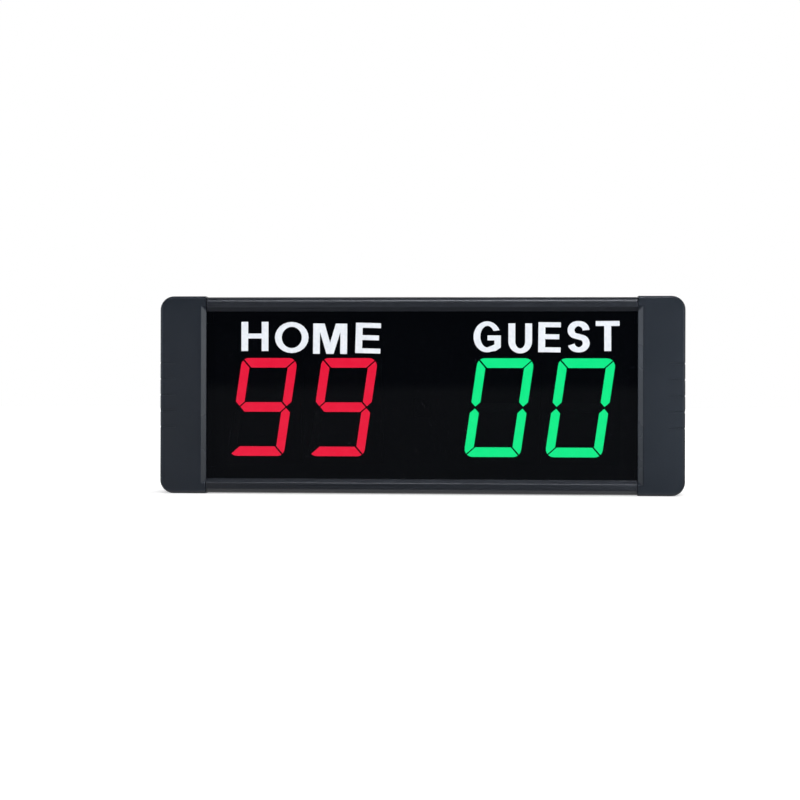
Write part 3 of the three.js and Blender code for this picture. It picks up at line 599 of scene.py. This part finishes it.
def chip_package(node, body_share):
    """Black epoxy over the body's share of a package's width, and tinned legs beyond it."""
    low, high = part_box(node)
    made, tree = new_material(node + "_package")
    across = tree.place()[0]
    away = tree.math("ABSOLUTE", tree.math("SUBTRACT", across, (low.x + high.x) / 2))
    edge = (high.x - low.x) / 2 * body_share
    leg = tree.math("GREATER_THAN", away, edge)
    grain = tree.noise(size=0.00008)
    tree.surface({
        "Base Color": tree.mix(leg, (0.012, 0.012, 0.013), (0.66, 0.66, 0.64)),
        "Metallic": leg,
        "Roughness": tree.between(grain, 0.38, 0.55),
        "Normal": tree.bump(grain, depth=0.000006),
    })
    return made


def foil_wrap():
    """The crinkled laminate round a flat battery cell."""
    made, tree = new_material("foil_wrap")
    folds = tree.noise(size=0.006, detail=4.0, stretch=(1.0, 1.0, 2.5))
    fine = tree.noise(size=0.0006)
    tree.surface({
        "Base Color": tree.tones(folds, (0.46, 0.49, 0.55), (0.60, 0.62, 0.66)),
        "Metallic": 0.75,
        "Roughness": tree.between(folds, 0.28, 0.45),
        "Normal": tree.bump(folds, depth=0.0003, normal=tree.bump(fine, depth=0.00002)),
    })
    return made


def foam():
    made, tree = new_material("foam")
    spot = tree.add("TexCoord").outputs["Object"]
    cells = tree.add("TexVoronoi", {"Vector": spot, "Scale": FOAM_CELLS_PER_METRE}).outputs["Distance"]
    tree.surface({
        "Base Color": tree.tones(cells, (0.05, 0.052, 0.055), (0.12, 0.125, 0.13), 0.0, 0.6),
        "Roughness": 0.95,
        "Normal": tree.bump(cells, depth=0.00008),
    })
    return made


cap_plastic = moulded_plastic("cap_plastic", (0.0095, 0.013, 0.0185), (0.012, 0.0155, 0.0215), 0.37)
# Painted sheen: the facet beside the window is given a lighter tone that stands in for the side light it
# reflects.
facet_painted_sheen = moulded_plastic("facet_painted_sheen", (0.021, 0.024, 0.028), (0.027, 0.030, 0.034), 0.28, 0.4)
panel_plastic = moulded_plastic("panel_plastic", (0.012, 0.014, 0.0165), (0.0155, 0.0175, 0.0205), 0.55)
slider_plastic = moulded_plastic("slider_plastic", (0.13, 0.134, 0.14), (0.16, 0.164, 0.17), 0.45, 0.4)
nylon_white = moulded_plastic("nylon_white", (0.72, 0.71, 0.67), (0.80, 0.79, 0.75), 0.45, 0.5)
tongue_plastic = moulded_plastic("tongue_plastic", (0.012, 0.012, 0.013), (0.018, 0.018, 0.019), 0.4, 0.5)
switch_plastic = moulded_plastic("switch_plastic", (0.014, 0.014, 0.015), (0.02, 0.02, 0.021), 0.45, 0.5)
epoxy_lens = moulded_plastic("epoxy_lens", (0.008, 0.006, 0.008), (0.012, 0.009, 0.011), 0.2, 0.5)
ferrite = moulded_plastic("ferrite", (0.05, 0.05, 0.052), (0.07, 0.07, 0.072), 0.7, 0.4)
rail_black = extruded_rail()
acrylic = smoked_acrylic()
red_light = lit_resin("red_light", (0.85, 0.009, 0.042), (0.88, 0.013, 0.049))
green_light = lit_resin("green_light", (0.003, 0.90, 0.25), (0.008, 0.93, 0.27))
dark_resin = unlit_resin()
digit_black = housing_black()
white_film = print_white()
key_rubber = soft_rubber("key_rubber", (0.034, 0.037, 0.042), (0.042, 0.045, 0.051))
red_lead = soft_rubber("red_lead", (0.36, 0.012, 0.012), (0.44, 0.018, 0.016))
black_lead = soft_rubber("black_lead", (0.010, 0.010, 0.011), (0.016, 0.016, 0.017))
screw_steel = metal("screw_steel", (0.40, 0.40, 0.41), (0.50, 0.50, 0.51), 0.34, (1.0, 4.0, 4.0))
# Painted shade: a darker steel put on the faces of each screw's cross recess, where shade falls.
recess_painted_shade = metal("recess_painted_shade", (0.09, 0.09, 0.095), (0.13, 0.13, 0.135), 0.5, (1.0, 4.0, 4.0))
port_steel = metal("port_steel", (0.50, 0.50, 0.50), (0.58, 0.58, 0.57), 0.28, (1.0, 12.0, 1.0))
can_steel = metal("can_steel", (0.55, 0.55, 0.55), (0.64, 0.64, 0.63), 0.25, (8.0, 1.0, 1.0))
contact_gold = metal("contact_gold", (0.78, 0.52, 0.20), (0.86, 0.60, 0.26), 0.22, (1.0, 8.0, 1.0))
board_mask = solder_mask()
battery_foil = foil_wrap()
pad_foam = foam()


# Meshes


def body_of(node):
    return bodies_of(nodes[node])[0]


def dress(node, material):
    """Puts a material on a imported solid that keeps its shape."""
    nodes[node].data.materials.clear()
    nodes[node].data.materials.append(material)


def finished(name, bm, material, body, slot, *replaced):
    """Turns a bmesh into a piece, shaded smooth between its creases."""
    bmesh.ops.recalc_face_normals(bm, faces=bm.faces)
    mesh = bpy.data.meshes.new(name)
    bm.to_mesh(mesh)
    bm.free()
    mesh.polygons.foreach_set("use_smooth", [True] * len(mesh.polygons))
    mesh.set_sharp_from_angle(angle=math.radians(CREASE_ANGLE))
    mesh.materials.append(material)
    obj = link(bpy.data.objects.new(name, mesh))
    weights = obj.modifiers.new("face_weights", "WEIGHTED_NORMAL")
    weights.keep_sharp = True
    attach(obj, body)
    if replaced:
        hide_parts(*replaced)
    return obj


def welded(node):
    """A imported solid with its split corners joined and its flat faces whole."""
    bm = bmesh.new()
    bm.from_mesh(nodes[node].data)
    bmesh.ops.remove_doubles(bm, verts=bm.verts, dist=WELD_DISTANCE)
    bmesh.ops.dissolve_limit(bm, angle_limit=math.radians(FLAT_ANGLE), verts=bm.verts, edges=bm.edges)
    return bm


def connected_groups(edges):
    left = set(edges)
    while left:
        waiting = [left.pop()]
        group = []
        while waiting:
            edge = waiting.pop()
            group.append(edge)
            for vert in edge.verts:
                for near in vert.link_edges:
                    if near in left:
                        left.remove(near)
                        waiting.append(near)
        yield group


def soften(bm, width):
    """Rounds the outward edges, each connected group as far as its own shortest sides allow."""
    crease = math.radians(CREASE_ANGLE)
    sharp = [edge for edge in bm.edges if edge.is_manifold and edge.is_convex]
    sharp = [edge for edge in sharp if edge.calc_face_angle(0) > crease]
    for group in list(connected_groups(sharp)):
        bmesh.ops.bevel(bm, geom=group, offset=width, segments=2, profile=0.5,
                        affect="EDGES", clamp_overlap=True)


def refined(node, name, material, slot):
    """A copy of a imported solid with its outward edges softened, which stands for it."""
    bm = welded(node)
    soften(bm, EDGE_SOFTNESS)
    return finished(name, bm, material, body_of(node), slot, node)


def skin(bm, rings):
    """A closed solid over a stack of rings of as many points each."""
    rows = [[bm.verts.new(point) for point in ring] for ring in rings]
    for low, high in zip(rows, rows[1:]):
        for index in range(len(low)):
            following = (index + 1) % len(low)
            bm.faces.new((low[index], low[following], high[following], high[index]))
    bm.faces.new(rows[0])
    bm.faces.new(rows[-1])


def plate(bm, loops, depths, place):
    """A flat solid between two depths along Y, of an outline and its holes. place gives x and z."""
    rows = []
    for depth in depths:
        spots = [place(point) for loop in loops for point in loop]
        rows.append([bm.verts.new((x, depth, z)) for x, z in spots])
    flat = [[Vector((across, up, 0)) for across, up in loop] for loop in loops]
    for corners in tessellate_polygon(flat):
        for row in rows:
            bm.faces.new([row[corner] for corner in corners])
    start = 0
    for loop in loops:
        for index in range(len(loop)):
            here = start + index
            following = start + (index + 1) % len(loop)
            bm.faces.new((rows[0][here], rows[0][following], rows[1][following], rows[1][here]))
        start += len(loop)


# Outlines, as lists of (across, up)


def at_depth(points, y):
    """An outline stood upright in the plane at this depth."""
    return [(x, y, z) for x, z in points]


def at_height(points, z):
    """An outline laid level at this height."""
    return [(x, y, z) for x, y in points]


def rectangle(left, low, right, high):
    return [(left, low), (right, low), (right, high), (left, high)]


def arc(centre, radii, start, end, steps=ARC_STEPS):
    points = []
    for step in range(steps + 1):
        angle = math.radians(start + (end - start) * step / steps)
        points.append((centre[0] + radii[0] * math.cos(angle), centre[1] + radii[1] * math.sin(angle)))
    return points


def eased(points, radius):
    """The same outline with its corners rounded, as far as its sides are long enough."""
    result = []
    for index, corner in enumerate(points):
        here = Vector(corner)
        before = Vector(points[index - 1]) - here
        after = Vector(points[(index + 1) % len(points)]) - here
        if math.degrees(before.angle(after)) > 180 - CREASE_ANGLE:
            result.append(tuple(corner))
            continue
        reach = min(radius, before.length / 3, after.length / 3)
        first = here + before.normalized() * reach
        last = here + after.normalized() * reach
        for step in range(CORNER_STEPS + 1):
            share = step / CORNER_STEPS
            spot = first * (1 - share) ** 2 + here * (2 * share * (1 - share)) + last * share ** 2
            result.append(tuple(spot))
    return result


def inset(points, distance):
    """The same outline, drawn in all round by the distance."""
    area = sum(a[0] * b[1] - b[0] * a[1] for a, b in zip(points, points[1:] + points[:1]))
    turn = 1 if area > 0 else -1
    result = []
    for index, corner in enumerate(points):
        here = Vector(corner)
        coming = (here - Vector(points[index - 1])).normalized()
        going = (Vector(points[(index + 1) % len(points)]) - here).normalized()
        inward = Vector((-coming.y - going.y, coming.x + going.x)) * turn
        reach = distance / max(MITRE_LIMIT, inward.length / 2)
        result.append(tuple(here + inward.normalized() * reach))
    return result


def stroke(centre_line, stem, level):
    """A band along a line: the stem's width where it runs upright, the level's where it runs level."""
    left, right = [], []
    for index, spot in enumerate(centre_line):
        before = Vector(centre_line[max(index - 1, 0)])
        after = Vector(centre_line[min(index + 1, len(centre_line) - 1)])
        along = (after - before).normalized()
        half = (level + (stem - level) * abs(along.y)) / 2
        across = Vector((-along.y, along.x)) * half
        left.append(tuple(Vector(spot) + across))
        right.append(tuple(Vector(spot) - across))
    return left + right[::-1]


# Plain bold capitals and signs in a box of width w and height h, with the widths of their upright stems
# and level strokes. Each gives its outline and then its holes. The shares of w and h are its own form.


def oval(centre, radii, stem, level):
    """A ring: its outline, and its hole turned the other way."""
    hole = (radii[0] - stem, radii[1] - level)
    return [arc(centre, radii, 0, 360)[:-1], arc(centre, hole, 360, 0)[:-1]]


def letter_h(w, h, stem, level):
    low, high = h * 0.43, h * 0.43 + level
    return [[(0, 0), (stem, 0), (stem, low), (w - stem, low), (w - stem, 0), (w, 0),
             (w, h), (w - stem, h), (w - stem, high), (stem, high), (stem, h), (0, h)]]


def letter_o(w, h, stem, level):
    return oval((w / 2, h / 2), (w / 2, h / 2), stem, level)


def letter_m(w, h, stem, level):
    return [[(0, 0), (stem, 0), (stem, h * 0.72), (w * 0.395, 0), (w * 0.605, 0), (w - stem, h * 0.72),
             (w - stem, 0), (w, 0), (w, h), (w * 0.665, h), (w * 0.5, h * 0.37), (w * 0.335, h), (0, h)]]


def letter_e(w, h, stem, level):
    low, high = h * 0.435, h * 0.435 + level
    return [[(0, 0), (w, 0), (w, level), (stem, level), (stem, low), (w * 0.935, low),
             (w * 0.935, high), (stem, high), (stem, h - level), (w, h - level), (w, h), (0, h)]]


def letter_f(w, h, stem, level):
    low, high = h * 0.42, h * 0.42 + level
    return [[(0, 0), (stem, 0), (stem, low), (w * 0.9, low), (w * 0.9, high),
             (stem, high), (stem, h - level), (w, h - level), (w, h), (0, h)]]


def letter_n(w, h, stem, level):
    return [[(0, 0), (stem, 0), (stem, h * 0.62), (w - stem, 0), (w, 0),
             (w, h), (w - stem, h), (w - stem, h * 0.38), (stem, h), (0, h)]]


def letter_t(w, h, stem, level):
    left, right = (w - stem) / 2, (w + stem) / 2
    return [[(left, 0), (right, 0), (right, h - level), (w, h - level), (w, h),
             (0, h), (0, h - level), (left, h - level)]]


def letter_u(w, h, stem, level):
    bowl = h * 0.4
    outer = arc((w / 2, bowl), (w / 2, bowl), 180, 360)
    inner = arc((w / 2, bowl), (w / 2 - stem, bowl - level), 360, 180)
    return [[(0, h)] + outer + [(w, h), (w - stem, h)] + inner + [(stem, h)]]


def letter_g(w, h, stem, level):
    outer = arc((w / 2, h / 2), (w / 2, h / 2), 25, 290)
    inner = arc((w * 0.51, h * 0.506), (w * 0.51 - stem, h * 0.506 - level), 270, 32)
    bar_low, bar_high = h * 0.545 - level, h * 0.545
    return [outer + [(w * 0.82, h * 0.05), (w, h * 0.16), (w, bar_high), (w * 0.513, bar_high),
                     (w * 0.513, bar_low), (w * 0.765, bar_low), (w * 0.765, h * 0.25)] + inner]


def letter_s(w, h, stem, level):
    upper = (h - level) / 4
    across = (w - stem) / 2
    line = arc((w * 0.49, h - level / 2 - upper), (across, upper), 0, 235)
    line += arc((w * 0.5, level / 2 + upper), (across, upper), 55, -168)
    return [stroke(line, stem, level)]


def sign_plus(w, h, stem, level):
    left, right = (w - stem) / 2, (w + stem) / 2
    low, high = (h - level) / 2, (h + level) / 2
    return [[(left, 0), (right, 0), (right, low), (w, low), (w, high), (right, high),
             (right, h), (left, h), (left, high), (0, high), (0, low), (left, low)]]


def sign_minus(w, h, stem, level):
    return [rectangle(0, (h - level) / 2, w, (h + level) / 2)]


def sign_zero(w, h, stem, level):
    return oval((w / 2, h / 2), (w * 0.72 / 2, h / 2), stem, level)


GLYPHS = {
    "H": letter_h, "O": letter_o, "M": letter_m, "E": letter_e, "F": letter_f, "N": letter_n,
    "T": letter_t, "U": letter_u, "G": letter_g, "S": letter_s,
    "+": sign_plus, "-": sign_minus, "0": sign_zero,
}


def print_glyph(bm, glyph, left, middle_up, size, strokes, depths, turn=0.0, facing=1):
    """One printed glyph. facing is 1 on the front, and -1 where it is read from the back."""
    width, height = size
    angle = math.radians(-turn)
    loops = [eased(loop, PRINT_CORNER) for loop in GLYPHS[glyph](width, height, *strokes)]

    def place(point):
        across = point[0] - width / 2
        up = point[1] - height / 2
        turned = across * math.cos(angle) - up * math.sin(angle)
        risen = across * math.sin(angle) + up * math.cos(angle)
        return left + facing * (width / 2 + turned), middle_up + risen

    plate(bm, loops, depths, place)


# Pieces of the case


def make_case():
    make_cap("left_end_cap", "left_cap_shell")
    make_cap("right_end_cap", "right_cap_shell")
    make_rail("top_rail")
    make_rail("bottom_rail")
    refined("front_window", "window_sheet", acrylic, "smoked_window")
    refined("back_panel", "back_shell", panel_plastic, "panel_plastic")
    refined("stand_leg", "stand_flap", panel_plastic, "panel_plastic")


def make_cap(node, name):
    """An end cap, whose slanted facet beside the window is smoother than the rest and painted lighter, a
    painted sheen for the side light that it reflects.
    """
    piece = refined(node, name, cap_plastic, "cap_plastic")
    # The facet's faces take the lighter material, a painted sheen.
    piece.data.materials.append(facet_painted_sheen)
    inwards = -math.copysign(1.0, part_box(node)[0].x)
    for face in piece.data.polygons:
        leans = FACET_LEAN[0] < face.normal.x * inwards < FACET_LEAN[1]
        if leans and face.normal.y < 0 and abs(face.normal.z) < FACET_RISE:
            face.material_index = 1


def make_rail(node):
    """A rail with softened edges, whose ends all but touch the caps."""
    bm = welded(node)
    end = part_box(node)[1].x
    for vert in bm.verts:
        if abs(vert.co.x) > end - WELD_DISTANCE:
            vert.co.x += math.copysign(RAIL_SPREAD, vert.co.x)
    soften(bm, EDGE_SOFTNESS)
    finished(node + "_profile", bm, rail_black, "case", "black_rail", node)


def make_front_words():
    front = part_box("front_window")[0].y
    depths = (front - PRINT_THICKNESS, front - PRINT_SEAT)
    for name, letters in WORDS.items():
        bm = bmesh.new()
        for glyph, left, middle, width, height, turn in letters:
            print_glyph(bm, glyph, left, middle, (width, height), (FRONT_STEM, FRONT_LEVEL), depths, turn)
        finished(name, bm, white_film, "case", "white_print")


def thread_rings(place_along, length):
    """Rings of a screw thread, whose ridge climbs one pitch in each turn and fades at the point."""
    rings = []
    count = round(length / SCREW_PITCH * RINGS_PER_PITCH)
    for index in range(count + 1):
        along = length * index / count
        fade = max(SCREW_POINT_SHARE, min(1.0, (length - along) / SCREW_POINT))
        ring = []
        for side in range(SCREW_SIDES):
            turn = side / SCREW_SIDES
            phase = (along / SCREW_PITCH + turn) % 1.0
            ridge = 1 - abs(phase * 2 - 1)
            radius = SCREW_CORE_RADIUS + (SCREW_RADIUS - SCREW_CORE_RADIUS) * ridge
            ring.append(place_along(along, radius * fade, turn))
        rings.append(ring)
    return rings


def recess_outline(grow):
    """A cross whose arms reach as far as this share of the recess."""
    half = RECESS_WIDTH / 2
    reach = RECESS_REACH * grow
    return [(half, half), (half, reach), (-half, reach), (-half, half), (-reach, half), (-reach, -half),
            (-half, -half), (-half, -reach), (half, -reach), (half, -half), (reach, -half), (reach, half)]


def cut_recess(obj, outer_x, side, centre):
    """Cuts a tapering cross into the outer end of a screw, and paints shade on its faces with a darker
    steel.
    """
    bm = bmesh.new()
    rings = []
    for sunk, grow in ((-RECESS_DEPTH, 1.0), (0.0, 1.0), (RECESS_DEPTH, RECESS_TAPER)):
        x = outer_x - side * sunk
        rings.append([(x, centre.y + across, centre.z + up) for across, up in recess_outline(grow)])
    skin(bm, rings)
    bmesh.ops.recalc_face_normals(bm, faces=bm.faces)
    mesh = bpy.data.meshes.new("recess_cutter")
    bm.to_mesh(mesh)
    bm.free()
    cutter = link(bpy.data.objects.new("recess_cutter", mesh))
    boolean = obj.modifiers.new("recess", "BOOLEAN")
    boolean.object = cutter
    boolean.solver = "EXACT"
    evaluated = obj.evaluated_get(bpy.context.evaluated_depsgraph_get())
    obj.data = bpy.data.meshes.new_from_object(evaluated)
    obj.modifiers.remove(boolean)
    bpy.data.objects.remove(cutter)
    obj.data.materials.append(recess_painted_shade)
    for face in obj.data.polygons:
        sunk = (outer_x - face.center.x) * side
        off_axis = math.hypot(face.center.y - centre.y, face.center.z - centre.z)
        if WELD_DISTANCE < sunk < RECESS_DEPTH + WELD_DISTANCE and off_axis < RECESS_REACH:
            face.material_index = 1


def make_screw(node):
    """A pan-headed screw with a cross recess and a cut thread."""
    low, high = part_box(node)
    side = 1 if low.x > 0 else -1
    outer_x = high.x if side > 0 else low.x
    centre = (low + high) / 2

    def place_along(along, radius, turn):
        angle = turn * math.tau
        x = outer_x - side * (SCREW_HEAD_HEIGHT + along)
        return x, centre.y + radius * math.cos(angle), centre.z + radius * math.sin(angle)

    bm = bmesh.new()
    profile = [(-SCREW_HEAD_HEIGHT, SCREW_HEAD_RADIUS - SCREW_HEAD_ROUND)]
    for angle in SCREW_HEAD_ANGLES:
        turned = math.radians(angle)
        profile.append((-SCREW_HEAD_HEIGHT + SCREW_HEAD_ROUND * (1 - math.cos(turned)),
                        SCREW_HEAD_RADIUS - SCREW_HEAD_ROUND * (1 - math.sin(turned))))
    profile += [(-SCREW_HEAD_FILLET, SCREW_HEAD_RADIUS), (0.0, SCREW_HEAD_RADIUS - SCREW_HEAD_FILLET)]
    rings = []
    for along, radius in profile:
        rings.append([place_along(along, radius, step / SCREW_SIDES) for step in range(SCREW_SIDES)])
    rings += thread_rings(place_along, (high.x - low.x) - SCREW_HEAD_HEIGHT)
    skin(bm, rings)
    piece = finished(node.replace("cap_screw", "screw"), bm, screw_steel, "case", "steel", node)
    cut_recess(piece, outer_x, side, centre)


# Pieces of the display


def segment_outlines(node):
    """The front outline of each segment of a packed diffuser, by the segment's usual letter."""
    low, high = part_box(node)
    centre = (low + high) / 2
    middle = (high - low) * SEGMENT_MIDDLE_SHARE
    lean = math.tan(math.radians(DIGIT_SLANT))
    outlines = {}
    bm = welded(node)
    for face in bm.faces:
        spot = face.calc_center_median()
        if spot.y > low.y + WELD_DISTANCE:
            continue
        up = spot.z - centre.z
        across = spot.x - centre.x - up * lean
        if abs(across) < middle.x and abs(up) < middle.z:
            letter = "g"
        elif abs(across) < middle.x:
            letter = "a" if up > 0 else "d"
        elif across > 0:
            letter = "b" if up > 0 else "c"
        else:
            letter = "f" if up > 0 else "e"
        outlines[letter] = [(vert.co.x, vert.co.z) for vert in face.verts]
    bm.free()
    return outlines


def segment_solid(bm, outline, front, back):
    """A segment with rounded corners and a softened front rim."""
    shape = eased(outline, SEGMENT_CORNER)
    rings = []
    for sunk, drawn_in in SEGMENT_RIM_STEPS:
        rings.append(at_depth(inset(shape, SEGMENT_RIM * drawn_in), front + SEGMENT_RIM * sunk))
    rings.append(at_depth(shape, back))
    skin(bm, rings)


def make_digit(digit, shown):
    """One digit: its lit segments as one piece, and its slab with the dark segments as another."""
    node = digit + "_diffuser"
    low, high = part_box(node)
    slab_front = high.y - SLAB_THICKNESS
    slot = "home_light" if digit.startswith("home") else "guest_light"
    light = red_light if digit.startswith("home") else green_light
    lit = bmesh.new()
    dark = bmesh.new()
    for letter, outline in segment_outlines(node).items():
        if letter in LIT_SEGMENTS[shown]:
            segment_solid(lit, inset(outline, -SEGMENT_SPREAD), low.y, slab_front)
        else:
            segment_solid(dark, outline, low.y, slab_front)
    segment_solid(dark, rectangle(low.x, low.z, high.x, high.z), slab_front, high.y)
    finished(digit + "_lit_segments", lit, light, "case", slot, node)
    finished(digit + "_light_guide", dark, dark_resin, "case", slot, node)
    dress(digit + "_housing", digit_black)


# Pieces of the back


def ring_along_y(centre, radius, y):
    points = []
    for step in range(KEY_SIDES):
        angle = step / KEY_SIDES * math.tau
        points.append((centre.x + radius * math.cos(angle), y, centre.z + radius * math.sin(angle)))
    return points


def key_profile(foot, top):
    """The key's turned profile, as (radius, y), with a rounded rim and a dished top."""
    flange_top = foot + KEY_FLANGE
    profile = [
        (KEY_FLANGE_RADIUS - KEY_FILLET, foot),
        (KEY_FLANGE_RADIUS, foot + KEY_FILLET),
        (KEY_FLANGE_RADIUS, flange_top - KEY_FILLET),
        (KEY_FLANGE_RADIUS - KEY_FILLET, flange_top),
        (KEY_HEAD_RADIUS + KEY_FILLET, flange_top),
        (KEY_HEAD_RADIUS, flange_top + KEY_FILLET),
    ]
    for step in range(KEY_ROUND_STEPS + 1):
        angle = math.radians(90 * step / KEY_ROUND_STEPS)
        inward = KEY_ROUND * (1 - math.cos(angle))
        profile.append((KEY_HEAD_RADIUS - inward, top - KEY_ROUND * (1 - math.sin(angle))))
    rim = KEY_HEAD_RADIUS - KEY_ROUND
    for share in KEY_DISH_SHARES:
        profile.append((rim * share, top - KEY_DISH * (1 - share ** 2)))
    return profile


def make_key(key, sign):
    """A key's rubber top, and the sign printed in its dish."""
    node = key + "_key"
    low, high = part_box(node)
    centre = (low + high) / 2
    body = body_of(node)
    bm = bmesh.new()
    skin(bm, [ring_along_y(centre, radius, y) for radius, y in key_profile(low.y, high.y)])
    finished(key + "_key_top", bm, key_rubber, body, "key_rubber", node)
    bm = bmesh.new()
    floor = high.y - KEY_DISH
    size = (MARK_SIZE, MARK_SIZE)
    strokes = (MARK_STROKE, MARK_STROKE)
    depths = (floor - PRINT_THICKNESS, floor + PRINT_THICKNESS)
    print_glyph(bm, sign, centre.x + MARK_SIZE / 2, centre.z, size, strokes, depths, facing=-1)
    finished(key + "_key_mark", bm, white_film, body, "white_print")


def make_slider():
    """The power switch's slider: a ridged knob on its skirt."""
    low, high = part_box("power_slider")
    centre = (low + high) / 2
    body = body_of("power_slider")
    width, height = KNOB_SIZE
    left = centre.x - width / 2
    ridge = width / KNOB_RIDGES
    valley = high.y - KNOB_RIDGE_DEPTH
    outline = [(left, low.y), (left + width, low.y), (left + width, valley)]
    for index in range(KNOB_RIDGES, 0, -1):
        right = left + ridge * index
        crest_start, crest_end, valley_start = [right - ridge * share for share in KNOB_RIDGE_SHARES]
        outline += [(crest_start, high.y), (crest_end, high.y), (valley_start, valley)]
    outline[-1] = (left, valley)
    bm = bmesh.new()
    skirt = rectangle(low.x, low.y, high.x, low.y + KNOB_SKIRT)
    for shape, tall in ((outline, height), (skirt, KNOB_SKIRT_HEIGHT)):
        skin(bm, [at_height(shape, centre.z - tall / 2), at_height(shape, centre.z + tall / 2)])
    bmesh.ops.recalc_face_normals(bm, faces=bm.faces)
    soften(bm, EDGE_SOFTNESS / 2)
    finished("power_slider_knob", bm, slider_plastic, body, "key_rubber", "power_slider")


def pill(centre, size, grow, y):
    """A ring with round ends in the plane across Y, grown by so much all round."""
    width, height = size
    radius = height / 2 + grow
    reach = width / 2 - height / 2
    right = arc((centre.x + reach, centre.z), (radius, radius), -90, 90, PORT_STEPS)
    left = arc((centre.x - reach, centre.z), (radius, radius), 90, 270, PORT_STEPS)
    return at_depth(right + left, y)


def make_port():
    """The charging port: a drawn steel shell, a tongue, and contacts on both sides of the tongue."""
    low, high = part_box("charging_port")
    centre = (low + high) / 2
    size = (high.x - low.x, high.z - low.z)
    floor = high.y - PORT_MOUTH
    bm = bmesh.new()
    skin(bm, [
        pill(centre, size, -PORT_LIP, low.y),
        pill(centre, size, 0.0, low.y + PORT_LIP),
        pill(centre, size, 0.0, high.y - PORT_LIP),
        pill(centre, size, -PORT_LIP, high.y),
        pill(centre, size, PORT_LIP - PORT_SHELL, high.y),
        pill(centre, size, -PORT_SHELL, high.y - PORT_LIP),
        pill(centre, size, -PORT_SHELL, floor),
    ])
    finished("port_shell", bm, port_steel, "case", "steel", "charging_port")
    make_tongue(centre, floor, high.y - TONGUE_SINK)
    make_contacts(centre, high.y - TONGUE_SINK)


def make_tongue(centre, back, front):
    """The plastic tongue in the mouth of the port, with its front rim drawn in."""
    across, up = TONGUE_SIZE[0] / 2, TONGUE_SIZE[1] / 2
    shape = eased(rectangle(centre.x - across, centre.z - up, centre.x + across, centre.z + up), PORT_LIP)
    bm = bmesh.new()
    skin(bm, [
        at_depth(shape, back),
        at_depth(shape, front - PORT_LIP),
        at_depth(inset(shape, PORT_LIP), front),
    ])
    finished("port_tongue", bm, tongue_plastic, "case", "steel", "charging_port")


def make_contacts(centre, front):
    """A row of gilt contacts on the top of the port's tongue, and one on its underside."""
    tip = front - CONTACT_SETBACK
    back = tip - CONTACT_LENGTH
    bm = bmesh.new()
    for side in (-1, 1):
        face = centre.z + side * TONGUE_SIZE[1] / 2
        levels = sorted((face, face + side * CONTACT_THICKNESS))
        for index in range(CONTACT_COUNT):
            middle = centre.x + (index - (CONTACT_COUNT - 1) / 2) * CONTACT_PITCH
            strip = rectangle(middle - CONTACT_WIDTH / 2, back, middle + CONTACT_WIDTH / 2, tip)
            skin(bm, [at_height(eased(strip, CONTACT_WIDTH / 4), level) for level in levels])
    finished("port_contacts", bm, contact_gold, "case", "steel", "charging_port")


def make_switch_labels():
    """ON and OFF under the ends of the slider's slot, read from the back."""
    low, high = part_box("power_slider")
    middle_x = (low.x + high.x) / 2 + joint_travel("power_slide") / 2
    height = (low.z + high.z) / 2 - SWITCH_LABEL_DROP
    outer = panel_face()
    depths = (outer + PRINT_SEAT, outer + PRINT_THICKNESS)
    size = (SWITCH_LETTER_WIDTH, SWITCH_LABEL_HEIGHT)
    strokes = (SWITCH_LABEL_STROKE, SWITCH_LABEL_STROKE)
    bm = bmesh.new()
    for word, side in (("ON", 1), ("OFF", -1)):
        length = SWITCH_LETTER_STEP * (len(word) - 1) + SWITCH_LETTER_WIDTH
        start = middle_x + side * SWITCH_LABEL_SPREAD + length / 2
        for index, glyph in enumerate(word):
            left = start - SWITCH_LETTER_STEP * index
            print_glyph(bm, glyph, left, height, size, strokes, depths, facing=-1)
    finished("switch_labels", bm, white_film, "case", "white_print")


def joint_travel(name):
    """How far a sliding joint of the frame moves, in metres."""
    ranges = [joint["range_m"] for joint in frame["joints"] if joint["name"] == name]
    return ranges[0][1] - ranges[0][0]


def panel_face():
    """The outer face of the back panel, which the stand leg's back face is flush with."""
    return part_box("stand_leg")[1].y


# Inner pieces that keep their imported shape


def dress_inside():
    for node, share in CHIP_BODY_SHARES.items():
        dress(node, chip_package(node, share))
    for key in KEY_SIGNS:
        dress(key + "_plunger", nylon_white)
        dress(key + "_switch", switch_plastic)
    plain = {
        "circuit_board": board_mask, "power_inductor": ferrite, "crystal": can_steel,
        "storage_capacitor": can_steel, "buzzer": switch_plastic, "infrared_receiver": epoxy_lens,
        "battery_pad": pad_foam, "battery_cell": battery_foil, "battery_socket": nylon_white,
        "battery_plug": nylon_white, "battery_lead_red": red_lead, "battery_lead_black": black_lead,
        "power_switch_body": switch_plastic,
    }
    for node, material in plain.items():
        dress(node, material)


make_world()
make_stage()
for name, values in SOFTBOXES.items():
    softbox(name, *values)
make_case()
make_front_words()
for corner in ("left_low", "left_high", "right_low", "right_high"):
    make_screw("cap_screw_" + corner)
for digit, shown in SHOWN_DIGITS.items():
    make_digit(digit, shown)
for key, sign in KEY_SIGNS.items():
    make_key(key, sign)
make_slider()
make_port()
make_switch_labels()
dress_inside()
